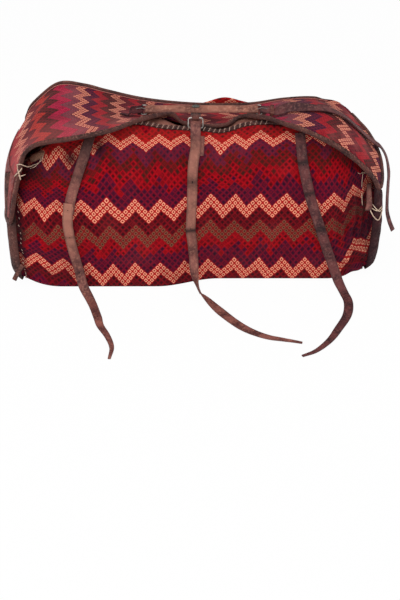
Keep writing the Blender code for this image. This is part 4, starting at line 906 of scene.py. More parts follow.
# The rolled leather edge round the lid's two ends and front, and the piping along its back seam: soft dark
# hide turned over the cloth and sewn through. The piping lies flat on the lid and thins out at its ends.
BEAD_WIDTH = 0.014
BEAD_HALF = 0.0050
PIPING_WIDTH = 0.013
PIPING_HALF = 0.0032
PIPING_REST = 0.0003
PIPING_SET = 0.0006
PIPING_END = 0.25
PIPING_SPAN = (18, -17)
seam_step = FLAP_DEEP // 8
around_i = np.concatenate((np.zeros(FLAP_DEEP - seam_step, int), np.arange(FLAP_LONG + 1),
                           np.full(FLAP_DEEP - seam_step, FLAP_LONG)))
around_j = np.concatenate((np.arange(seam_step, FLAP_DEEP), np.full(FLAP_LONG + 1, FLAP_DEEP),
                           np.arange(FLAP_DEEP - 1, seam_step - 1, -1)))
edge = LID_FACE[around_i, around_j]
edge_up = LID_UP[around_i, around_j]
inward = LID_FACE[np.clip(around_i, 1, FLAP_LONG - 1), np.minimum(around_j, FLAP_DEEP - 1)] - edge
LID_ROLL, spots = bead_sections(edge, inward, edge_up, BEAD_WIDTH, BEAD_HALF, 0.12, 61)
lid_edge = tube_skin("lid_edge", LID_ROLL, dark_hide, spots)
fit(lid_edge, "dark_leather", "lid_binding")

piping_span = slice(*PIPING_SPAN)
base = (LID_FACE + LID_UP * (CLOTH / 2.0 + PIPING_REST))[piping_span, 0]
ahead = unit(LID_FACE[piping_span, 1] - LID_FACE[piping_span, 0])
turn = np.linspace(0.0, math.pi, 11)
outline = np.concatenate((np.column_stack((0.5 - 0.5 * np.cos(turn), np.sin(turn) ** 0.8)),
                          np.column_stack((np.linspace(0.92, 0.08, 5), np.zeros(5)))))
outline = outline * np.array((PIPING_WIDTH, 2.0 * PIPING_HALF)) + np.array((PIPING_SET, 0.0))
station = np.arange(len(base), dtype=float)
thinned = ease(station, 0.0, 8.0) * (1.0 - ease(station, len(base) - 12.0, len(base) - 1.0))
thinned = PIPING_END + (1.0 - PIPING_END) * thinned
sections = (base[:, None] + ahead[:, None] * outline[None, :, :1]
            + LID_UP[piping_span, 0][:, None] * outline[None, :, 1:] * thinned[:, None, None])
side = outline[None, :, 0] / PIPING_WIDTH * 2 - 1
piping = tube_skin("lid_piping", sections, dark_hide, swept_spots(distance(base), side))
fit(piping, "dark_leather", "lid_back_piping")

# The left and right front straps: 25 mm bridle leather, gone stiff and dusty. The left one is two pieces
# lapped near mid-height; each hangs over the front, drops to the floor and runs out to a narrow tip.
STRAP_STANDOFF = 0.0012
TIP_SHARE = 0.30
FLOOR_GAP = 0.0004
PUCKER_CLEAR = 0.0022
LAP_LIFT = 0.0035
STRAP_UNEVEN = 0.035
STRAP_WAVE = 0.0004
# On the front: (share along, share of the height). On the floor: (share along, metres ahead of the
# strap's foot, height, outward way).
LEFT_UPPER = ((-0.528, 0.972), (-0.569, 0.851), (-0.609, 0.727), (-0.640, 0.625), (-0.657, 0.525))
LEFT_LOWER = ((-0.654, 0.590), (-0.665, 0.476), (-0.661, 0.369), (-0.647, 0.263), (-0.627, 0.147))
RIGHT_FRONT = ((0.534, 0.992), (0.541, 0.920), (0.556, 0.807), (0.577, 0.711), (0.609, 0.584),
               (0.652, 0.450), (0.687, 0.335), (0.724, 0.219))
UP = (0.0, 0.0, 1.0)
LEFT_FLOOR = ((-0.604, 0.018, 0.022, (0.0, -0.6, 0.8)), (-0.554, 0.057, 0.0, UP), (-0.505, 0.121, 0.0, UP),
              (-0.481, 0.158, 0.0, UP), (-0.433, 0.202, 0.0, UP), (-0.404, 0.243, 0.0, UP),
              (-0.407, 0.283, 0.0, UP))
RIGHT_FLOOR = ((0.765, 0.012, 0.040, (0.0, -0.8, 0.5)), (0.784, 0.024, 0.018, (0.0, -0.6, 0.8)),
               (0.810, 0.055, 0.0, UP), (0.815, 0.095, 0.0, UP), (0.788, 0.146, 0.0, UP),
               (0.722, 0.203, 0.0, UP), (0.665, 0.246, 0.0, UP), (0.590, 0.283, 0.0, UP),
               (0.518, 0.302, 0.0, UP))
strap_hide = leather("strap_leather", dye(138, 84, 76), dye(82, 46, 46), dye(178, 120, 100))
# The two right straps' leather: a darker copy of the strap leather, partly a darker hide and partly painted
# shade.
dark_shaded_strap_hide = leather("dark_shaded_strap_leather", dye(104, 56, 56), dye(58, 32, 36), dye(140, 92, 84))


def front_places(x, height):
    """Points on the front panel's full face at x and a height, and the outward directions there.

    Each is read in proportion between the two columns beside x and the two rows beside the height.
    """
    column = np.clip(np.interp(x, BODY[0, :, 0], np.arange(CROSSING)), 0, CROSSING - 1.001)
    low = column.astype(int)
    part = (column - low)[None, :, None]
    points = BODY[:SIDE + 1, low] * (1 - part) + BODY[:SIDE + 1, low + 1] * part
    ways = BODY_OUT[:SIDE + 1, low] * (1 - part) + BODY_OUT[:SIDE + 1, low + 1] * part
    row = np.clip(np.sum(points[..., 2] > height[None], axis=0) - 1, 0, SIDE - 1)
    k = np.arange(len(x))
    upper, lower = points[row, k], points[row + 1, k]
    part = np.clip((upper[:, 2] - height) / np.maximum(upper[:, 2] - lower[:, 2], 1e-9), 0.0, 1.0)[:, None]
    return upper * (1 - part) + lower * part, unit(ways[row, k] * (1 - part) + ways[row + 1, k] * part)


def strap_knots(front, floor, thickness, lift=0.0, drop_at=None, steps=14):
    """Points and outward directions of a strap on the front and out over the floor, with their place.

    It stands off the panel by lift, which drops to nothing between the two steps of drop_at.
    """
    face = smooth(front, steps)
    step = np.arange(steps + 1)
    raised = lift if drop_at is None else lift * (1.0 - ease(step, *drop_at))
    points, ways = front_places(face[:, 0] * HALF, face[:, 1] * MOUTH_HEIGHT)
    points = points + ways * np.broadcast_to(STRAP_STANDOFF + thickness / 2.0 + raised, len(points))[:, None]
    if not floor:
        return points, ways, step.astype(float)
    foot = points[-1]
    run = np.array([(row[0] * HALF, foot[1] - row[1], row[2] + thickness / 2.0 + FLOOR_GAP) for row in floor])
    run_ways = np.array([row[3] for row in floor])
    place = np.concatenate((step, steps + 3.0 * (1 + np.arange(len(floor)))))
    return np.vstack((points, run)), np.vstack((ways, run_ways)), place


def even_line(knots, ways, place=None, spacing=0.0022):
    """A smooth line through the knots read at even distances, with its ways and its share of places.

    Without places the knots count as 0, 1, 2 and so on; one way may stand for all the knots.
    """
    ways = np.broadcast_to(ways, np.shape(knots))
    place = np.arange(len(knots)) if place is None else place
    count = 24 * (len(knots) - 1)
    fine = smooth(knots, count)
    fine_ways = smooth(ways, count)
    fine_place = np.interp(np.linspace(0, len(knots) - 1, count + 1), np.arange(len(knots)), place)
    run = distance(fine)
    at = np.linspace(0.0, run[-1], max(int(run[-1] / spacing), 8) + 1)

    def read(values):
        """Each column of values at the even distances."""
        return np.stack([np.interp(at, run, values[:, k]) for k in range(values.shape[1])], axis=-1)

    return read(fine), unit(read(fine_ways)), np.interp(at, run, fine_place) / place[-1], at


def strap_outline(width, thickness):
    """A worn strap's section at each station: half-round edges and slightly domed faces."""
    turn = np.radians((-72, -36, 0, 36, 72))
    flat = np.linspace(0.80, -0.80, 7)
    edge = thickness / 2.0
    half = np.broadcast_to(width, np.shape(width))[:, None] / 2.0
    right = np.stack(np.broadcast_arrays(half - edge + edge * np.cos(turn), edge * np.sin(turn)), axis=-1)
    dome = 0.0002 * (1.0 - (flat / 0.8) ** 2)
    top = np.stack(np.broadcast_arrays((half - edge) * flat / 0.84, edge + dome), axis=-1)
    left = right[:, ::-1] * np.array((-1.0, 1.0))
    bottom = top[:, ::-1] * np.array((1.0, -1.0))
    loop = np.concatenate((right, top, left, bottom), axis=1)
    return loop, loop[..., 0] / half


def lay_strap(name, line, width, thickness, finish, twist=None, creases=(), holes=(), fade=0.0, floor=True,
              seed=1, across=None):
    """A strap swept along a line: its width direction is the line crossed with its outward way.

    Creases are (place, width, depth, darkening): dents across the strap, darkened with painted shade; one
    with no depth is only a band of painted shade. Holes are the places of punched holes.
    """
    points, ways, share, run = line
    along = unit(np.gradient(points, axis=0))
    if across is None:
        across = unit(np.cross(along, ways))
    across = unit(across - along * np.sum(across * along, axis=1, keepdims=True))
    ways = np.cross(across, along)
    if twist is not None:
        angle = np.radians(read_curve(twist, share))[:, None]
        across, ways = (across * np.cos(angle) + ways * np.sin(angle),
                        ways * np.cos(angle) - across * np.sin(angle))
    where = np.column_stack((run, run * 0.0))
    width = width * (1.0 + STRAP_UNEVEN * lumps(where, 0.045, seed))
    dent = np.zeros(len(run))
    soil = np.zeros(len(run))
    # Each crease darkens the strap with painted shade.
    for place, wide, depth, dark in creases:
        hit = np.exp(-((share - place) * run[-1] / wide) ** 2)
        dent = dent + hit * depth
        soil = soil + hit * dark
    near = np.zeros(len(run))
    for place in holes:
        near = np.maximum(near, 1.0 - abs(share - place) * run[-1] / HOLE_REACH)
    points = points + ways * (STRAP_WAVE * lumps(where, 0.03, seed + 1) - dent)[:, None]
    if floor:
        need = width / 2 * abs(across[:, 2]) + thickness / 2 * abs(ways[:, 2]) + FLOOR_GAP
        points[:, 2] = np.maximum(points[:, 2], need)
    outline, side = strap_outline(width, thickness)
    sections = points[:, None] + outline[..., :1] * across[:, None] + outline[..., 1:] * ways[:, None]
    return tube_skin(name, sections, finish, swept_spots(run, side), soil=np.clip(soil, 0, 1), hole=near,
                     fade=np.broadcast_to(fade, len(run)))


def tip_width(share, taper):
    """Full strap width up to the taper's start, then narrowing by a power curve to the tip."""
    return STRAP_WIDTH * (1.0 - (1.0 - TIP_SHARE) * np.clip((share - taper) / (1 - taper), 0, 1) ** 1.4)


line = even_line(*strap_knots(LEFT_UPPER, (), LEATHER, LAP_LIFT, (0.5, 2.5), steps=10))
# The wide band near the top, with no dent, is painted shade under the lid's edge.
piece = lay_strap("left_strap_upper", line, STRAP_WIDTH, LEATHER, strap_hide, seed=71,
                  creases=((0.45, 0.006, 0.0004, 0.3), (0.05, 0.09, 0.0, 0.65)))
fit(piece, "strap_leather", "strap_left_upper")

line = even_line(*strap_knots(LEFT_LOWER, LEFT_FLOOR, LEATHER, LEATHER + TOUCH_GAP, (3.0, 7.0)))
piece = lay_strap("left_strap_lower", line, tip_width(line[2], 0.45), LEATHER, strap_hide, seed=73,
                  fade=0.65 * (1.0 - ease(line[2], 0.08, 0.42)),
                  creases=((0.20, 0.006, 0.0003, 0.4), (0.42, 0.008, 0.0004, 0.5)),
                  holes=(0.035, 0.20, 0.42, 0.66))
fit(piece, "strap_leather", "strap_left_lower")

line = even_line(*strap_knots(RIGHT_FRONT, RIGHT_FLOOR, LEATHER, PUCKER_CLEAR, (6.0, 2.0)))
piece = lay_strap("right_strap_long", line, tip_width(line[2], 0.60), LEATHER, dark_shaded_strap_hide, seed=75,
                  creases=((0.09, 0.005, 0.0006, 0.8), (0.175, 0.005, 0.0006, 0.8),
                           (0.265, 0.006, 0.0006, 0.8)),
                  holes=(0.095, 0.18, 0.27))
fit(piece, "strap_leather", "strap_right")

# The middle strap: sewn on the lid, it runs forward under the handle, through the ring and down the
# front to the floor, with a second short billet sewn on the panel behind it.
CENTRE_X = 0.002
CENTRE_FRONT = ((0.000, 0.885), (-0.012, 0.782), (-0.015, 0.624), (-0.021, 0.494), (-0.024, 0.399),
                (-0.016, 0.311), (-0.009, 0.194))
BILLET_FRONT = ((0.026, 0.970), (0.024, 0.865))
CENTRE_FLOOR = ((-0.004, 0.020, 0.050, (0.0, -0.9, 0.4)), (0.013, 0.042, 0.024, (0.0, -0.6, 0.8)),
                (0.045, 0.060, 0.0, UP), (0.121, 0.113, 0.0, UP), (0.206, 0.167, 0.0, UP),
                (0.274, 0.199, 0.0, UP), (0.356, 0.223, 0.0, UP), (0.438, 0.234, 0.0, UP),
                (0.530, 0.246, 0.0, UP))
# The twist is (share of the strap, degrees); the runs over the mouth are (y, rise over the mouth).
CENTRE_TWIST = ((0.0, 0.0), (0.55, 0.0), (0.63, 30.0), (0.69, 70.0), (0.76, 10.0), (0.82, 0.0), (1.0, 0.0))
CENTRE_BRIDGE = ((0.000, 0.0000), (-0.030, 0.0120), (-0.067, 0.0190), (-0.080, 0.0210),
                 (-0.100, 0.0240), (-0.115, 0.0250), (-0.128, 0.0222), (-0.139, 0.0140),
                 (-0.1465, 0.0010), (-0.1488, -0.0140), (-0.1478, -0.0300))
CHAPE_RUN = ((-0.038, 0.0182), (-0.052, 0.0203), (-0.067, 0.0224), (-0.085, 0.0275),
             (-0.100, 0.0320), (-0.112, 0.0358))
CHAPE_WIDTH = 0.018
CHAPE_BACK = 0.011
BILLET_WIDTH = 0.022
RING_CENTRE = np.array((CENTRE_X, -0.128, MOUTH_HEIGHT + 0.0225))
RING_UP = np.array((0.0, 0.349, 0.937))
RING_HEIGHT = 0.0240
WIRE = 0.0016
RUNNING_GAP = 0.0004
STRAP_THIN = 0.0025
FOLD_RADIUS = WIRE + RUNNING_GAP + STRAP_THIN / 2.0
SIDEWAYS = np.array((1.0, 0.0, 0.0))


def round_bar(place, level, side, first, last, count):
    """Points at the fold's radius round a bar at (place, level), from one turn to another in degrees."""
    turn = np.radians(np.linspace(first, last, count))
    return np.column_stack((place + side * FOLD_RADIUS * np.cos(turn), level + FOLD_RADIUS * np.sin(turn)))


def lid_places(x, y):
    """Points on the lid's full top face above (x, y), and the upward directions there.

    Each lies in the plane of the grid point nearest to it, half a cloth's thickness above.
    """
    found = []
    for at in zip(x, y):
        k = np.argmin((LID[..., 0] - at[0]) ** 2 + (LID[..., 1] - at[1]) ** 2)
        point, way = LID.reshape(-1, 3)[k], LID_UP.reshape(-1, 3)[k]
        rise = (way[0] * (at[0] - point[0]) + way[1] * (at[1] - point[1])) / way[2]
        found.append((np.array((*at, point[2] - rise)) + way * CLOTH / 2.0, way))
    return np.array([place for place, way in found]), np.array([way for place, way in found])


sewn = lid_places((CENTRE_X, CENTRE_X), (0.040, 0.015))[0] + np.array((0, 0, STRAP_STANDOFF + LEATHER / 2))
bridge = np.array([(CENTRE_X, y, MOUTH_HEIGHT + rise) for y, rise in CENTRE_BRIDGE])
lead = np.vstack((sewn, bridge))
lead_ways = unit(np.cross(unit(np.gradient(lead, axis=0)), SIDEWAYS))
points, ways, place = strap_knots(CENTRE_FRONT, CENTRE_FLOOR, LEATHER, LEATHER + TOUCH_GAP, (1.5, 4.5))
line = even_line(np.vstack((lead, points)), np.vstack((lead_ways, ways)),
                 np.concatenate((2.0 * np.arange(len(lead)), 2.0 * len(lead) - 1.0 + place)))
piece = lay_strap("middle_strap", line, tip_width(line[2], 0.80), LEATHER, strap_hide, twist=CENTRE_TWIST,
                  seed=77, fade=0.35 * ease(line[2], 0.30, 0.36) * (1.0 - ease(line[2], 0.5, 0.6)),
                  creases=((0.33, 0.005, 0.0003, 0.3), (0.43, 0.006, 0.0005, 0.6),
                           (0.52, 0.006, 0.0005, 0.9)),
                  holes=(0.335, 0.43, 0.515))
fit(piece, "strap_leather", "strap_centre")

points, ways, place = strap_knots(BILLET_FRONT, (), LEATHER, steps=4)
line = even_line(points, ways, place)
piece = lay_strap("middle_billet", line, BILLET_WIDTH, LEATHER, strap_hide, seed=79, across=SIDEWAYS)
fit(piece, "strap_leather", "centre_billet")

bar = RING_CENTRE + RING_UP * RING_HEIGHT / 2.0
yz = np.vstack(([(y, MOUTH_HEIGHT + rise) for y, rise in CHAPE_RUN],
                round_bar(bar[1], bar[2], -1.0, 100.0, -80.0, 8),
                [(bar[1] + CHAPE_BACK, bar[2] - FOLD_RADIUS - TOUCH_GAP / 2.0)]))
knots = np.column_stack((np.full(len(yz), CENTRE_X), yz))
line = even_line(knots, UP, spacing=0.0008)
piece = lay_strap("ring_chape", line, CHAPE_WIDTH, STRAP_THIN, dark_hide, seed=81, across=SIDEWAYS)
fit(piece, "dark_leather", "centre_chape")

# The carrying handle: one lighter, thinner strap, folded round the inner bar of a buckle at each end, with
# an oval plate riveted on where the middle strap passes below it.
HANDLE_WIDTH = 0.026
HANDLE_TILT = math.radians(24.0)
HANDLE_LEFT = -0.1185
HANDLE_RIGHT = 0.1515
FOLD_RUN = 0.024
BUCKLE_PITCH = 0.0125
HANDLE_ACROSS = np.array((0.0, math.cos(HANDLE_TILT), math.sin(HANDLE_TILT)))
HANDLE_OUT = np.array((0.0, -math.sin(HANDLE_TILT), math.cos(HANDLE_TILT)))
HANDLE_BASE = np.array((0.0, -0.055, MOUTH_HEIGHT + 0.0310))
handle_hide = leather("handle_leather", dye(164, 104, 86), dye(104, 62, 54), dye(200, 146, 122))


def handle_places(offsets):
    """Points from (x, out) pairs: x along the bag and out square to the tilted handle's face."""
    offsets = np.asarray(offsets, dtype=float)
    return HANDLE_BASE + offsets[:, :1] * SIDEWAYS + offsets[:, 1:] * HANDLE_OUT


def fold_offsets(bar_x, side):
    """A strap end folded round a bar: back under the strap, half a turn round the bar, to its top."""
    under = -(STRAP_THIN + 2.0 * TOUCH_GAP)
    start = ((bar_x - side * FOLD_RUN, under), (bar_x - side * 0.6 * FOLD_RUN, under - TOUCH_GAP))
    return np.vstack((start, round_bar(bar_x, -FOLD_RADIUS, side, -90.0, 90.0, 7)))


flat_run = np.column_stack((np.linspace(HANDLE_LEFT, HANDLE_RIGHT, 8)[1:-1], np.zeros(6)))
knots = handle_places(np.vstack((fold_offsets(HANDLE_LEFT, -1.0), flat_run,
                                 fold_offsets(HANDLE_RIGHT, 1.0)[::-1])))
line = even_line(knots, HANDLE_OUT, spacing=0.0010)
piece = lay_strap("handle", line, HANDLE_WIDTH, STRAP_THIN, handle_hide, seed=83, across=HANDLE_ACROSS)
fit(piece, "handle_leather", "handle_strap")

# The tapered tab on the left buckle, and the long strap beyond the right one: it lies twisted over the
# lid, runs off its end and hangs beside the bag.
# At the buckle, under and above the bar: (run, fall). Over the lid: (x, y), or (x, y, tilt in degrees,
# lift). Off the lid: (x, y, rise over the mouth, swing in degrees towards the front).
FOLD_UNDER = ((0.0100, 0.0074), (0.0050, 0.0070))
FOLD_FALL = ((0.006, 0.0010), (0.012, 0.0022), (0.018, 0.0034), (0.026, 0.0048))
TAB_PLACES = ((-0.166, -0.053), (-0.172, -0.052), (-0.179, -0.051), (-0.186, -0.050))
TAB_TAPER = (1.0, 0.90, 0.74, 0.58, 0.42, 0.26)
RUNOUT = ((0.203, -0.056, 38.0, 0.0), (0.235, -0.061, 62.0, 0.0), (0.262, -0.059, 42.0, 0.0),
          (0.290, -0.056, 20.0, 0.0010), (0.325, -0.051, 8.0, 0.0020), (0.365, -0.047, 0.0, 0.0022),
          (0.400, -0.044, 0.0, 0.0020), (0.432, -0.041, 0.0, 0.0034), (0.452, -0.039, 0.0, 0.0062))
RUNOUT_TAIL = ((0.474, -0.037, -0.079, 4.0), (0.490, -0.036, -0.106, 14.0), (0.5015, -0.036, -0.150, 26.0),
               (0.5045, -0.037, -0.190, 30.0), (0.5060, -0.040, -0.230, 32.0),
               (0.5085, -0.044, -0.258, 36.0), (0.5160, -0.050, -0.285, 42.0),
               (0.5270, -0.056, -0.310, 48.0))
RUNOUT_LESS = 0.002
RUNOUT_TAPER = 0.35


def outer_fold(bar_x, side):
    """The folded end of the strap beyond a buckle: from below, half a turn round the outer bar, away."""
    outer = bar_x + side * BUCKLE_PITCH
    start, away = ([(outer + side * run, -fall) for run, fall in table] for table in (FOLD_UNDER, FOLD_FALL))
    bend = round_bar(outer, -FOLD_RADIUS, -side, -90.0, 90.0, 7)
    return handle_places(np.vstack((start, bend, away)))


fold = outer_fold(HANDLE_LEFT, -1.0)
over, ways = lid_places(*np.array(TAB_PLACES).T)
over = over + ways * (STRAP_STANDOFF + STRAP_THIN / 2.0)
knots = np.vstack((fold, over))
wide = np.vstack((np.broadcast_to(HANDLE_ACROSS, fold.shape), np.cross(ways, SIDEWAYS)))
line = even_line(knots, wide, spacing=0.0010)
taper = np.concatenate((np.ones(len(knots) - 6), TAB_TAPER))
width = HANDLE_WIDTH * np.interp(line[2] * (len(knots) - 1), np.arange(len(knots)), taper)
piece = lay_strap("buckle_tab", line, width, STRAP_THIN, stained_and_shaded_hide, seed=85, across=line[1])
fit(piece, "strap_leather", "left_tab")

fold = outer_fold(HANDLE_RIGHT, 1.0)
runout = np.array(RUNOUT)
tilt = np.radians(runout[:, 2])
over, ways = lid_places(runout[:, 0], runout[:, 1])
lift = STRAP_STANDOFF + STRAP_THIN / 2.0 + runout[:, 3] + HANDLE_WIDTH / 2.0 * np.sin(tilt)
over = over + ways * lift[:, None]
tail = np.array(RUNOUT_TAIL)
swing = np.radians(tail[:, 3])
wide = np.vstack((np.broadcast_to(HANDLE_ACROSS, fold.shape),
                  np.cross(ways, SIDEWAYS) * np.cos(tilt)[:, None] + ways * np.sin(tilt)[:, None],
                  np.column_stack((np.sin(swing), np.cos(swing), np.full(len(tail), 0.10)))))
knots = np.vstack((fold, over, tail[:, :3] + np.array((0.0, 0.0, MOUTH_HEIGHT))))
line = even_line(knots, wide, spacing=0.0016)
width = (HANDLE_WIDTH - RUNOUT_LESS) * (1.0 - RUNOUT_TAPER * ease(line[2], 0.80, 1.0))
piece = lay_strap("long_right_strap", line, width, STRAP_THIN, dark_shaded_strap_hide, seed=87, across=line[1])
fit(piece, "strap_leather", "right_strap")

# Leather patches: a reddish facing over the lid's lower left end, a small tab at the bag's lower left
# corner, a facing inside the mouth behind its trim, and a loose brown end at the right corner.
FACING_ROWS = 36
FACING_DEEP = 22
FACING_THIN = 0.0016
FACING_WIDTH = 0.040
FACING_PLACE = -0.0960
FACING_SPAN = (-0.28, 0.33)
FACING_STATIONS = 31
FACING_SLOPE = 0.42
FACING_LEVEL = -0.05
FACING_RISE = 0.014
FACING_DROP = 0.0040
TAB_WIDTH = 0.012
LOOSE_WIDTH = 0.012
LOOSE_FLARE = 0.007
CORNER_TAB = ((-0.4380, -0.1845, 0.0740), (-0.4470, -0.1880, 0.0610), (-0.4550, -0.1905, 0.0480),
              (-0.4615, -0.1925, 0.0350))
LOOSE_END = ((0.4285, -0.1385, 0.2820), (0.4315, -0.1450, 0.2480), (0.4325, -0.1500, 0.2300),
             (0.4310, -0.1530, 0.2140))
red_hide = leather("red_leather", dye(148, 66, 62), dye(88, 38, 40), dye(178, 106, 98))
line = even_line(CORNER_TAB, (-0.25, -0.95, 0.1), spacing=0.0015)
piece = lay_strap("corner_tab_leather", line, TAB_WIDTH, LEATHER, dark_hide, seed=97, fade=0.1)
fit(piece, "dark_leather", "corner_tab")

patch = (slice(1, FACING_ROWS), slice(FACING_DEEP, FLAP_DEEP))
top = LID_FACE[patch] + LID_UP[patch] * (CLOTH / 2.0 + TOUCH_GAP + FACING_THIN)
side = np.broadcast_to(np.linspace(-0.9, 0.9, FACING_ROWS - 1)[:, None], top.shape[:2])
patch_spots = np.stack((lid_deep[patch], side), axis=-1)
piece = cloth_skin("lid_end_facing", top, top - LID_UP[patch] * FACING_THIN, red_hide, patch_spots)
fit(piece, "dark_leather")

shares = np.linspace(*FACING_SPAN, FACING_STATIONS)
tilt = FACING_SLOPE * (ease(-shares, 0.08, 0.18) + ease(shares, 0.14, 0.23)) + FACING_LEVEL
knots = np.column_stack((shares * HALF, np.full(FACING_STATIONS, FACING_PLACE),
                         MOUTH_HEIGHT + read_curve(FRONT_RIM, shares)))
knots[:, 2] += FACING_RISE * tilt - FACING_DROP
ways = np.column_stack((0.0 * shares, 0.0 * shares + 1.0, tilt))
line = even_line(knots, ways, spacing=0.004)
piece = lay_strap("mouth_facing", line, FACING_WIDTH, FACING_THIN, strap_hide, seed=89, across=line[1],
                  fade=0.3)
fit(piece, "dark_leather")

line = even_line(LOOSE_END, (0.3, -0.85, 0.3), spacing=0.002)
# Both ends of this loose end are darkened as painted shade.
piece = lay_strap("corner_loose_end", line, LOOSE_WIDTH + LOOSE_FLARE * line[2], FACING_THIN, strap_hide,
                  seed=91, creases=((1.0, 0.005, 0.0, 0.7), (0.0, 0.012, 0.0, 0.8)))
fit(piece, "strap_leather")

# The sewing: pale and dark thread whipped over the mouth trim, dark ticks over the lid's rolled edge, a
# pink cord along the piping, dashes beside the end strips, and cream twine tied at both corners.
# Thread sizes are radii. Slants, the ticks' pitch and their clear ends count sections of the roll.
THREAD = 0.0009
WHIP_PITCH = 0.0062
WHIP_SLANT = 1.8
TICK_ENDS = 75.0
TICK_PITCH = 3.1
TICK_SLANT = 0.5
TICK_LIFT = 0.0003
TICK_THREAD = 0.0005
CORD_AHEAD = 0.0030
CORD_THREAD = 0.0012
DASH_THREAD = 0.0008
DASH_ROWS = (18, 82, 3)
DASH_LONG = 0.0055
DASH_SLANT = 0.7
DASH_LIFT = 0.0006
DASH_ARCH = 0.0010
TWINE_THREAD = 0.0013
LOOSE_THREAD = 0.0007
THREAD_SIDE = np.array((0.31, 0.42, 0.85))
OVER_RING = np.array((6, 5, 4, 3, 1, 0, 15))
TICK_RING = np.array((6, 5, 4, 3, 2))


def thread_finish(name, colour, shadow):
    """Spun thread: two tones of one colour in fine noise, with a twisted bump."""
    spun = Finish(name, roughness=0.9)
    solid = spun.solid()
    fine = spun.noise(solid, 700.0, 3.0, 0.7)
    bump = spun.node("Bump", None, {"Height": fine, "Strength": 0.6, "Distance": 0.0008})
    return spun.done(Base_Color=spun.mix(fine.ease(0.35, 0.65), shadow, colour), Normal=bump)


def threads(name, paths, radius, finish):
    """Round threads through rows of points, all in one mesh: six points round each point of a row.

    Both ends are thinned.
    """
    paths = np.asarray(paths, dtype=float)
    count, stations = paths.shape[:2]
    along = unit(np.gradient(paths, axis=1))
    side = unit(np.cross(along, THREAD_SIDE))
    turn = np.linspace(0.0, 2.0 * math.pi, 7)[:-1]
    other = np.cross(along, side)
    ring = side[:, :, None] * np.cos(turn)[:, None] + other[:, :, None] * np.sin(turn)[:, None]
    girth = np.full(stations, radius)
    girth[[0, -1]] *= 0.55
    quads = tube_quads(stations, 6)[None] + (np.arange(count) * stations * 6)[:, None, None]
    spots = swept_spots(distance(paths, axis=1), turn)
    made = put_mesh(name, paths[:, :, None] + ring * girth[:, None, None], quads, finish, spots)
    fit(made, "woven_wool")


def wrapped(sections, at, ring, slant, lift):
    """Short paths over a rolled edge, through chosen corners of its sections, slanting along it."""
    at = np.asarray(at)[:, None] + slant * np.linspace(0.0, 1.0, len(ring))[None]
    low = np.clip(at.astype(int), 0, len(sections) - 2)
    part = (at - low)[..., None]
    place = sections[low, ring] * (1.0 - part) + sections[low + 1, ring] * part
    middle = sections.mean(axis=1)
    return place + unit(place - middle[low] * (1.0 - part) - middle[low + 1] * part) * lift


def dashes(places, ways, outs, length, lift):
    """Short straight stitches centred on places, raised at their middles by a parabola."""
    u = np.linspace(-0.5, 0.5, 5)[None, :, None]
    return places[:, None] + unit(ways)[:, None] * u * length + outs[:, None] * lift * (1.0 - (2 * u) ** 2)


cream = thread_finish("cream_thread", dye(232, 208, 184), dye(176, 142, 118))
faded_cream = thread_finish("faded_thread", dye(204, 174, 156), dye(150, 112, 100))
black = thread_finish("dark_thread", dye(54, 36, 36), dye(28, 18, 20))
pink = thread_finish("pink_thread", dye(198, 122, 112), dye(140, 72, 70))
at = np.interp(np.arange(TRIM_SPAN[0] * HALF, TRIM_SPAN[1] * HALF, WHIP_PITCH),
               TRIM_ROLL[:, :, 0].mean(axis=1), np.arange(len(TRIM_ROLL)))
for name, places, thread in (("trim_whipping_pale", at[::2], faded_cream),
                             ("trim_whipping_dark", at[1::2], black)):
    threads(name, wrapped(TRIM_ROLL, places, OVER_RING, WHIP_SLANT, THREAD * 0.7), THREAD, thread)
at = np.arange(TICK_ENDS, len(LID_ROLL) - TICK_ENDS, TICK_PITCH)
threads("lid_edge_ticks", wrapped(LID_ROLL, at, TICK_RING, TICK_SLANT, TICK_LIFT), TICK_THREAD, black)
cord = (LID_FACE + LID_UP * (CLOTH / 2.0 + THREAD))[piping_span, 0] + ahead * (PIPING_WIDTH + CORD_AHEAD)
threads("piping_cord", cord[None], CORD_THREAD, pink)
rows = np.arange(*DASH_ROWS)
rows = rows + np.where(lumps(np.column_stack((rows, rows)), 2.0, 93) > 0.2, 1, 0)
for name, column, thread in (("left_strip_dashes", CORNER_REACH + 2, faded_cream),
                             ("right_strip_dashes", CROSSING - 3 - CORNER_REACH, black)):
    down = BODY[rows + 1, column] - BODY[rows, column]
    aside = (BODY[rows, column + 1] - BODY[rows, column]) * DASH_SLANT
    out = BODY_OUT[rows, column]
    paths = dashes(CLOTH_FACE[rows, column] + out * DASH_LIFT, down + aside, out, DASH_LONG, DASH_ARCH)
    threads(name, paths, DASH_THREAD, thread)

# Four points of each length of twine and loose thread, smoothed to a curve.
LEFT_TWINE = (((-0.4290, -0.1545, 0.339), (-0.4140, -0.1760, 0.350), (-0.4030, -0.1600, 0.337),
               (-0.3962, -0.1330, 0.327)),
              ((-0.4370, -0.1560, 0.311), (-0.4260, -0.1700, 0.318), (-0.4150, -0.1765, 0.320),
               (-0.4080, -0.1660, 0.319)),
              ((-0.4270, -0.1580, 0.340), (-0.4235, -0.1700, 0.333), (-0.4200, -0.1770, 0.323),
               (-0.4180, -0.1780, 0.310)),
              ((-0.4120, -0.1750, 0.340), (-0.4200, -0.1765, 0.330), (-0.4300, -0.1680, 0.320),
               (-0.4370, -0.1570, 0.309)))
LEFT_THREADS = (((-0.3990, -0.1340, 0.328), (-0.3840, -0.1330, 0.333), (-0.3720, -0.1310, 0.343),
                 (-0.3680, -0.1270, 0.358)),
                ((-0.4030, -0.1340, 0.320), (-0.3900, -0.1350, 0.326), (-0.3780, -0.1310, 0.338),
                 (-0.3740, -0.1260, 0.350)))
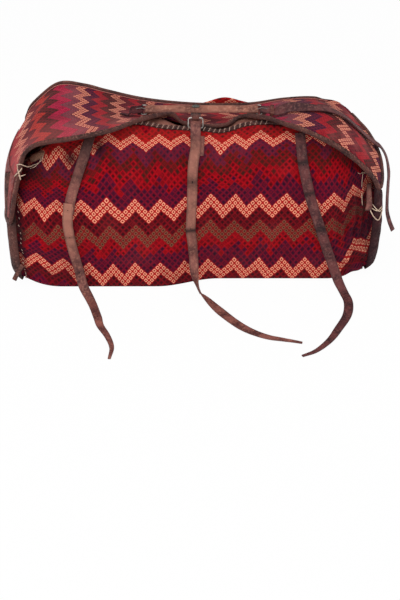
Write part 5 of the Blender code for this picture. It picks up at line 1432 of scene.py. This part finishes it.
RIGHT_TWINE = (((0.4280, -0.1440, 0.227), (0.4390, -0.1470, 0.219), (0.4540, -0.1520, 0.213),
                (0.4690, -0.1330, 0.215)),
               ((0.4340, -0.1490, 0.219), (0.4450, -0.1580, 0.200), (0.4600, -0.1530, 0.188),
                (0.4720, -0.1320, 0.205)),
               ((0.4420, -0.1440, 0.227), (0.4520, -0.1520, 0.217), (0.4620, -0.1450, 0.208),
                (0.4710, -0.1320, 0.210)))
RIGHT_THREADS = (((0.4136, -0.1290, 0.3082), (0.4120, -0.1345, 0.2860), (0.4135, -0.1400, 0.2560),
                  (0.4154, -0.1500, 0.2274)),
                 ((0.3990, -0.1350, 0.3090), (0.4060, -0.1330, 0.3060), (0.4130, -0.1300, 0.3090),
                  (0.4190, -0.1290, 0.3040)))
for name, lengths, radius in (("left_twine", LEFT_TWINE, TWINE_THREAD),
                              ("left_threads", LEFT_THREADS, LOOSE_THREAD),
                              ("right_twine", RIGHT_TWINE, TWINE_THREAD),
                              ("right_threads", RIGHT_THREADS, LOOSE_THREAD)):
    threads(name, [smooth(row, 18) for row in lengths], radius, cream)

# A tuft of raw khaki wool under the curl of the lid's left corner: a loose, matted ball that has worked
# out between the lid and the front panel and is held only by the two.
TUFT_PLACE = (-0.3850, -0.1230, 0.3480)
TUFT_SIZE = (0.0190, 0.0100, 0.0105)
khaki_wool = thread_finish("khaki_wool", dye(146, 104, 80), dye(78, 50, 40))
up_turn = np.linspace(-math.pi / 2, math.pi / 2, 22)[1:-1, None]
round_turn = np.linspace(0.0, 2.0 * math.pi, 33)[:-1][None]
ball = np.stack(np.broadcast_arrays(np.sin(up_turn), np.cos(up_turn) * np.cos(round_turn),
                                    np.cos(up_turn) * np.sin(round_turn)), axis=-1)
ball = ball * (1.0 + 0.22 * lumps(ball, 0.55, 95) + 0.12 * lumps(ball, 0.2, 96))[..., None] * TUFT_SIZE
ball[..., 2] += 0.5 * ball[..., 0]
tuft = tube_skin("wool_tuft", ball + np.array(TUFT_PLACE), khaki_wool, ball[..., :2])
fit(tuft, "woven_wool")

# The fittings that keep their CAD shapes: wire ring, two wire buckle frames and their prongs in dull
# worn steel, the oval plate in grey-green brass and the keeper loop in the dark hide.
STEEL = dye(170, 165, 160)
RUSTED = dye(92, 80, 72)
PATINA = dye(84, 88, 88)
RUBBED_BRASS = dye(124, 122, 112)
steel = Finish("worn_steel", roughness=0.34, metallic=1.0)
solid = steel.solid()
spotted = steel.noise(solid, 420.0, 4.0, 0.7)
colour = steel.mix(spotted.ease(0.52, 0.70), STEEL, RUSTED)
steel_made = steel.done(Base_Color=colour, Roughness=0.28 + spotted * 0.3)
brass = Finish("patinated_brass", roughness=0.5, metallic=1.0)
solid = brass.solid()
spotted = brass.noise(solid, 300.0, 4.0, 0.7)
colour = brass.mix(spotted.ease(0.40, 0.62), PATINA, RUBBED_BRASS)
brass_made = brass.done(Base_Color=colour, Roughness=0.35 + spotted * 0.4)
for node in ("centre_ring", "left_buckle_frame", "right_buckle_frame", "left_buckle_prong",
             "right_buckle_prong"):
    bpy.data.objects[node].material_slots[0].material = steel_made
bpy.data.objects["crossing_rivet"].material_slots[0].material = brass_made
bpy.data.objects["right_keeper"].material_slots[0].material = dark_hide
